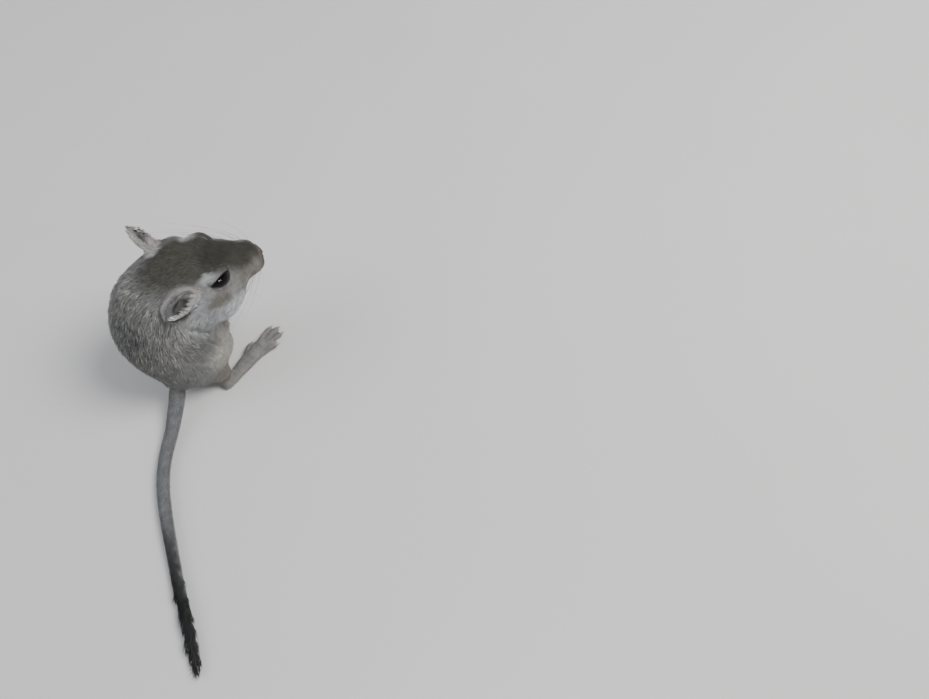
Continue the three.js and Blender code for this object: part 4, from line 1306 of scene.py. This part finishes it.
# Slow swirls, a little scatter, and clumps that draw their tips together
swirl = np.zeros(tufts)
least, more = coat["waveLength"]
for _ in range(coat["waves"]):
    wave = rng.normal(size=3) * (least + more * rng.random())
    swirl += np.sin(roots / mm @ wave + rng.random() * coat["waveTurn"]) * coat["swirl"] / coat["wavesReach"]
turn = np.radians(swirl + rng.normal(size=tufts) * coat["scatter"])
ways, asides = (ways * np.cos(turn)[:, None] + asides * np.sin(turn)[:, None],
                asides * np.cos(turn)[:, None] - ways * np.sin(turn)[:, None])
clumpOf = np.arange(0, tufts, coat["clumpEvery"])
rng.shuffle(clumpOf)
clumpTree = treeOf(roots[clumpOf])
clump = np.array([clumpTree.find(Vector(root))[1] for root in roots])
clumpShade = rng.random(len(clumpOf))[clump]
aside = rowDots(roots[clumpOf[clump]] - roots, asides)
aside = np.clip(aside, -coat["clumpReach"] * mm, coat["clumpReach"] * mm)
pull = asides * (aside * coat["clumpPull"] * np.minimum(lengths / coat["clumpFullAt"], 1))[:, None]
looseness = 1 + coat["looser"] * atRoots(fluffy)
lift = np.radians(coat["lift"] * looseness * varied(coat["liftVaries"]))
laid = np.radians(rng.normal(size=tufts) * coat["tipScatter"] * looseness + coat["tipLift"])
halfLengths = (lengths * mm / 2)[:, None]


def halfTuft(angle):
    return halfLengths * (ways * np.cos(angle)[:, None] + rootNormals * np.sin(angle)[:, None])


middles = roots + halfTuft(lift) + coat["clumpBend"][0] * pull
tips = middles + halfTuft(laid) + coat["clumpBend"][1] * pull
bases = roots - rootNormals * coat["sink"] * mm
ofClump, ofTuft, darker = coat["shades"]
shades = np.clip(ofClump * clumpShade + ofTuft * rng.random(tufts) - darker, 0, 1)
calm = coat["calm"]
calm = headness * calm["head"] + pawness * calm["paws"] + tailness * calm["tail"] + legness * calm["legs"]
shades = 0.5 + (shades - 0.5) * (1 - np.clip(atRoots(calm), 0, coat["calmest"]))
least, more = ears["pale"]
pales = np.clip(atRoots(earness) * (least + more * atRoots(earRim)), 0, 1)
pales = np.maximum(pales, ears["fringePale"] * atRoots(earFringe))
print("tufts laid")

# Bake patches: each tuft has a small patch at its root's place on an unwrap of the skin

unwrap = {"coarseness": 0.06, "angle": 66, "margin": 0.008}
unwrapped = linkedObject("unwrapped", skinPiece.data.copy())
applyModifier(unwrapped, "DECIMATE", ratio=unwrap["coarseness"])
editAll(unwrapped)
bpy.ops.mesh.quads_convert_to_tris()
bpy.ops.uv.smart_project(angle_limit=math.radians(unwrap["angle"]), island_margin=unwrap["margin"])
leaveEdit()
wrapMesh = unwrapped.data
wrapPoints = pointsOf(wrapMesh)
wrapFaces = np.array([polygon.vertices[:] for polygon in wrapMesh.polygons])
wrapUv = np.empty(len(wrapMesh.loops) * 2, np.float32)
wrapMesh.uv_layers.active.data.foreach_get("uv", wrapUv)
wrapUv = wrapUv.reshape(-1, 3, 2)
wrapTree = BVHTree.FromPolygons([Vector(p) for p in wrapPoints], wrapFaces.tolist())
found = [wrapTree.find_nearest(Vector(root)) for root in roots]
wrapFace = np.array([hit[2] for hit in found])
wrapAt = np.array([hit[0][:] for hit in found])
a, b, c = (wrapPoints[wrapFaces[wrapFace, n]] for n in range(3))
whole = np.cross(b - a, c - a)
size = np.maximum(rowDots(whole, whole), 1e-20)
second = rowDots(np.cross(wrapAt - a, c - a), whole) / size
third = rowDots(np.cross(b - a, wrapAt - a), whole) / size
shares = np.clip(np.stack([1 - second - third, second, third], 1), 0, 1)
patches = (wrapUv[wrapFace] * (shares / shares.sum(1)[:, None])[:, :, None]).sum(1)
patches = np.clip(patches, coat["bakePatch"], 1 - coat["bakePatch"])
bpy.data.objects.remove(unwrapped)
print("bake patches placed")

# Tufts as closed blades of three sides: a ring at the root, a ring half way and a tip

blade = {
    "ring": [(-0.5, 0.0), (0.5, 0.0), (0.0, 0.4)],
    "ringFaces": [(-1.0, -0.3), (1.0, -0.3), (0.0, 1.0)],
    "halfWay": 0.8,
    "roundness": 0.38,
    "faces": [(0, 2, 1), (0, 1, 4), (0, 4, 3), (1, 2, 5), (1, 5, 4), (2, 0, 3), (2, 3, 5), (3, 4, 6),
              (4, 5, 6), (5, 3, 6)],
    "patch": [(-0.5, -0.5), (0.5, -0.5), (0.0, -0.3), (-0.4, 0.1), (0.4, 0.1), (0.0, 0.25), (0.0, 0.5)],
    "along": [0, 0, 0, 0.5, 0.5, 0.5, 1.0],
}
bladeSize = len(blade["along"])
bladeWays = unitRows(np.array(blade["ringFaces"]))


def bladeArrays(members):
    # Points and normals of the blades, all seven of one tuft together
    points = np.empty((len(members), bladeSize, 3))
    normals = np.empty((len(members), bladeSize, 3))
    for corner, (across, rise) in enumerate(blade["ring"]):
        step = (asides[members] * across + rootNormals[members] * rise) * (widths[members] * mm)[:, None]
        points[:, corner] = bases[members] + step
        points[:, corner + 3] = middles[members] + step * blade["halfWay"]
        own = asides[members] * bladeWays[corner][0] + rootNormals[members] * bladeWays[corner][1]
        bent = unitRows((1 - blade["roundness"]) * rootNormals[members] + blade["roundness"] * own)
        normals[:, corner] = normals[:, corner + 3] = bent
    points[:, -1] = tips[members]
    points[:, :, 2] = np.maximum(points[:, :, 2], coat["floor"] * mm)
    normals[:, -1] = rootNormals[members]
    return points, normals


def coatPiece(name, members):
    amount = len(members)
    points, normals = bladeArrays(members)
    faces = (np.array(blade["faces"])[None] + (np.arange(amount) * bladeSize)[:, None, None]).reshape(-1)
    mesh = bpy.data.meshes.new(name)
    mesh.vertices.add(amount * bladeSize)
    mesh.vertices.foreach_set("co", points.astype(np.float32).ravel())
    mesh.loops.add(len(faces))
    mesh.loops.foreach_set("vertex_index", faces.astype(np.int32))
    mesh.polygons.add(len(faces) // 3)
    mesh.polygons.foreach_set("loop_start", np.arange(0, len(faces), 3, dtype=np.int32))
    mesh.polygons.foreach_set("use_smooth", np.ones(len(faces) // 3, bool))
    mesh.update(calc_edges=True)
    setAttribute(mesh, "shade", np.repeat(shades[members], bladeSize))
    setAttribute(mesh, "along", np.tile(blade["along"], amount))
    setAttribute(mesh, "pale", np.repeat(pales[members], bladeSize))
    layer = mesh.uv_layers.new(name="OFBake")
    corners = patches[members][:, None] + np.array(blade["patch"])[None] * coat["bakePatch"]
    layer.data.foreach_set("uv", corners.reshape(-1, 2)[faces].astype(np.float32).ravel())
    mesh.normals_split_custom_set_from_vertices(normals.reshape(-1, 3))
    mesh.materials.append(coatMaterial)
    piece = linkedObject(name, mesh)
    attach(piece, "root")
    print(name, len(faces) // 3, "triangles")
    return piece


# Pieces of the coat, by the area each root is in. Head and trunk are parted once more at these places
partings = {"face": 0, "crown": 2, "neck": 30, "belly": 14}
placed = inBody(roots)
rootHead = inHead(roots)
trunk = np.ones(tufts, bool)
areaRoots = {"tail": onTail, "paws": pawness, "ears": earness, "head": headness, "legs": legness}
for name, amount in areaRoots.items():
    areaRoots[name] = trunk & (atRoots(amount) > 0.5)
    trunk = trunk & ~areaRoots[name]
onLeft = placed[:, 1] > bodyMiddle
onFace = rootHead[:, 0] > partings["face"]
faceLeft = rootHead[:, 1] > 0
onCrown = rootHead[:, 2] > partings["crown"]
onNeck = placed[:, 2] > partings["neck"]
onBelly = placed[:, 0] >= partings["belly"]
regions = {
    "coatTail": areaRoots["tail"],
    "coatPaws": areaRoots["paws"],
    "coatEars": areaRoots["ears"],
    "coatFaceLeft": areaRoots["head"] & onFace & faceLeft,
    "coatFaceRight": areaRoots["head"] & onFace & ~faceLeft,
    "coatCrown": areaRoots["head"] & ~onFace & onCrown,
    "coatCheeks": areaRoots["head"] & ~onFace & ~onCrown,
    "coatHaunchLeft": areaRoots["legs"] & onLeft,
    "coatHaunchRight": areaRoots["legs"] & ~onLeft,
    "coatNeck": trunk & onNeck,
    "coatBackLeft": trunk & ~onNeck & ~onBelly & onLeft,
    "coatBackRight": trunk & ~onNeck & ~onBelly & ~onLeft,
    "coatBelly": trunk & ~onNeck & onBelly,
}
for name, chosenOnes in regions.items():
    coatPiece(name, np.nonzero(chosenOnes)[0])
print("coat made")

# Whiskers: thin tapered hairs from the pads beside the nose and over the eyes.
# Each row is (root, way, length), for one side

whiskers = {
    "seed": 3,
    "rows": [
        ((14.8, 3.6, -2.2), (-0.1, 1, 0.25), 10), ((13.8, 4.3, -2.0), (-0.35, 1, 0.3), 13),
        ((12.6, 4.9, -1.8), (-0.6, 1, 0.35), 16), ((11.2, 5.2, -1.8), (-0.85, 1, 0.35), 17),
        ((15.0, 3.8, -3.5), (-0.05, 1, 0.0), 9), ((14.0, 4.6, -3.5), (-0.3, 1, 0.05), 12),
        ((12.6, 5.2, -3.6), (-0.55, 1, 0.1), 15), ((11.4, 5.4, -3.6), (-0.8, 1, 0.1), 16),
        ((14.6, 3.8, -4.8), (-0.1, 1, -0.3), 8), ((13.6, 4.4, -4.9), (-0.35, 1, -0.25), 11),
        ((12.2, 4.9, -5.1), (-0.6, 1, -0.2), 13), ((11.0, 5.2, -5.2), (-0.85, 1, -0.2), 14),
        ((13.6, 3.2, -6.0), (-0.3, 0.9, -0.6), 6), ((12.4, 3.9, -6.2), (-0.5, 0.9, -0.6), 7),
        ((4.2, 4.3, 8.2), (-0.5, 0.5, 1), 7), ((3.0, 4.8, 8.6), (-0.7, 0.6, 1), 6),
    ],
    "rootRadius": 0.06,
    "tipRadius": 0.012,
    "taper": 0.8,
    "sunk": 0.4,
    "scatter": 0.07,
    "lengthVaries": (0.9, 0.2),
    "droop": 0.16,
    "swept": 0.6,
    "rings": 7,
    "sides": 4,
}
whiskerLook = {
    "first": (0.1, 0.09, 0.08),
    "second": (0.45, 0.43, 0.4),
    "scale": 0.25 / mm,
    "detail": 1.0,
    "edge": (0.4, 0.6),
}


def whiskerStations(side, root, way, length, draw):
    surface = Vector(skinPoints[distanceTo(skinPoints, headPoint(*sided(root, side))).argmin()])
    turned = np.array(sided(way, side)) + draw.normal(size=3) * whiskers["scatter"]
    direction = headWay(*turned)
    least, more = whiskers["lengthVaries"]
    long = length * mm * (least + more * draw.random())
    bend = Vector((0, 0, -1)) * whiskers["droop"] + headWay(-1, 0, 0) * whiskers["swept"]
    start = surface - direction * whiskers["sunk"] * mm
    stations = []
    for n in range(whiskers["rings"] + 1):
        t = n / whiskers["rings"]
        thinner = (whiskers["tipRadius"] - whiskers["rootRadius"]) * t ** whiskers["taper"]
        place = start + direction * long * t + bend * long * t * t
        stations.append((place, (whiskers["rootRadius"] + thinner) * mm))
    return stations


def tubeArrays(stations, sides, start):
    points, faces = [], []
    for n, (centre, radius) in enumerate(stations):
        ahead = (stations[min(n + 1, len(stations) - 1)][0] - stations[max(n - 1, 0)][0]).normalized()
        across = ahead.orthogonal().normalized()
        over = ahead.cross(across)
        for k in range(sides):
            angle = 2 * math.pi * k / sides
            points.append(centre + (across * math.cos(angle) + over * math.sin(angle)) * radius)
    for n in range(len(stations) - 1):
        for k in range(sides):
            a, b = start + n * sides + k, start + n * sides + (k + 1) % sides
            faces.append((a, b, b + sides, a + sides))
    faces.append(tuple(start + k for k in reversed(range(sides))))
    last = start + (len(stations) - 1) * sides
    faces.append(tuple(last + k for k in range(sides)))
    return points, faces


draw = np.random.default_rng(whiskers["seed"])
points, faces = [], []
for side in (1, -1):
    for root, way, length in whiskers["rows"]:
        stations = whiskerStations(side, root, way, length, draw)
        morePoints, moreFaces = tubeArrays(stations, whiskers["sides"], len(points))
        points.extend(morePoints)
        faces.extend(moreFaces)
mesh = bpy.data.meshes.new("whiskers")
mesh.from_pydata([tuple(point) for point in points], [], faces)
mesh.validate()
whiskerPiece = linkedObject("whiskers", mesh)
editAll(whiskerPiece)
bpy.ops.mesh.normals_make_consistent(inside=False)
leaveEdit()
bpy.ops.object.shade_smooth()
whiskerPiece.data.materials.append(cloudedMaterial("whisker", whiskerLook, Roughness=0.35))
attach(whiskerPiece, "root")
print("whiskers made")

# Floor and light, in metres and watts

studio = {
    "floorSize": 3.0,
    "lookAt": (0, 0, 0.03),
    "lights": [("keyLight", (-0.35, -0.3, 0.6), 0.35, 5.2, (1.0, 0.99, 0.97)),
               ("fillLight", (0.5, 0.3, 0.5), 0.6, 2.0, (0.92, 0.95, 1.0))],
    "glints": [((-0.86, 0.5, 0.0), 0.014, 0.36), ((-0.97, 0.22, 0.02), 0.01, 0.1)],
    "glintFar": 0.2,
    "sky": (0.9, 0.93, 1.0),
    "skyStrength": 0.38,
}
floorLook = {
    "first": (0.72, 0.71, 0.7),
    "second": (0.74, 0.73, 0.72),
    "scale": 9.0,
    "detail": 3.0,
    "edge": (0.3, 0.7),
}

deselectAll()
bpy.ops.mesh.primitive_plane_add(size=studio["floorSize"], location=(0, 0, 0))
floor = bpy.context.object
floor.name = "floor"
floor.data.materials.append(cloudedMaterial("paleFloor", floorLook, Roughness=0.9))


def addSoftLight(name, place, target, size, power, colour):
    bpy.ops.object.light_add(type="AREA", location=place)
    light = bpy.context.object
    light.name = name
    light.data.shape = "DISK"
    light.data.size = size
    light.data.energy = power
    light.data.color = colour
    light.rotation_euler = (Vector(target) - Vector(place)).to_track_quat("-Z", "Y").to_euler()
    return light


for name, place, size, power, colour in studio["lights"]:
    addSoftLight(name, place, studio["lookAt"], size, power, colour)
eyeMiddle = headPoint(*sided(headPose["eyeAt"], -1))
for n, (way, size, power) in enumerate(studio["glints"]):
    place = eyeMiddle + Vector(way).normalized() * studio["glintFar"]
    glint = addSoftLight("glintLight" + str(n), place, eyeMiddle, size, power, (1.0, 1.0, 1.0))
    glint.visible_diffuse = False
world = bpy.data.worlds.new("studio")
world.use_nodes = True
sky = world.node_tree.nodes["Background"]
sky.inputs["Color"].default_value = solidColour(studio["sky"])
sky.inputs["Strength"].default_value = studio["skyStrength"]
bpy.context.scene.world = world
print("studio lit")
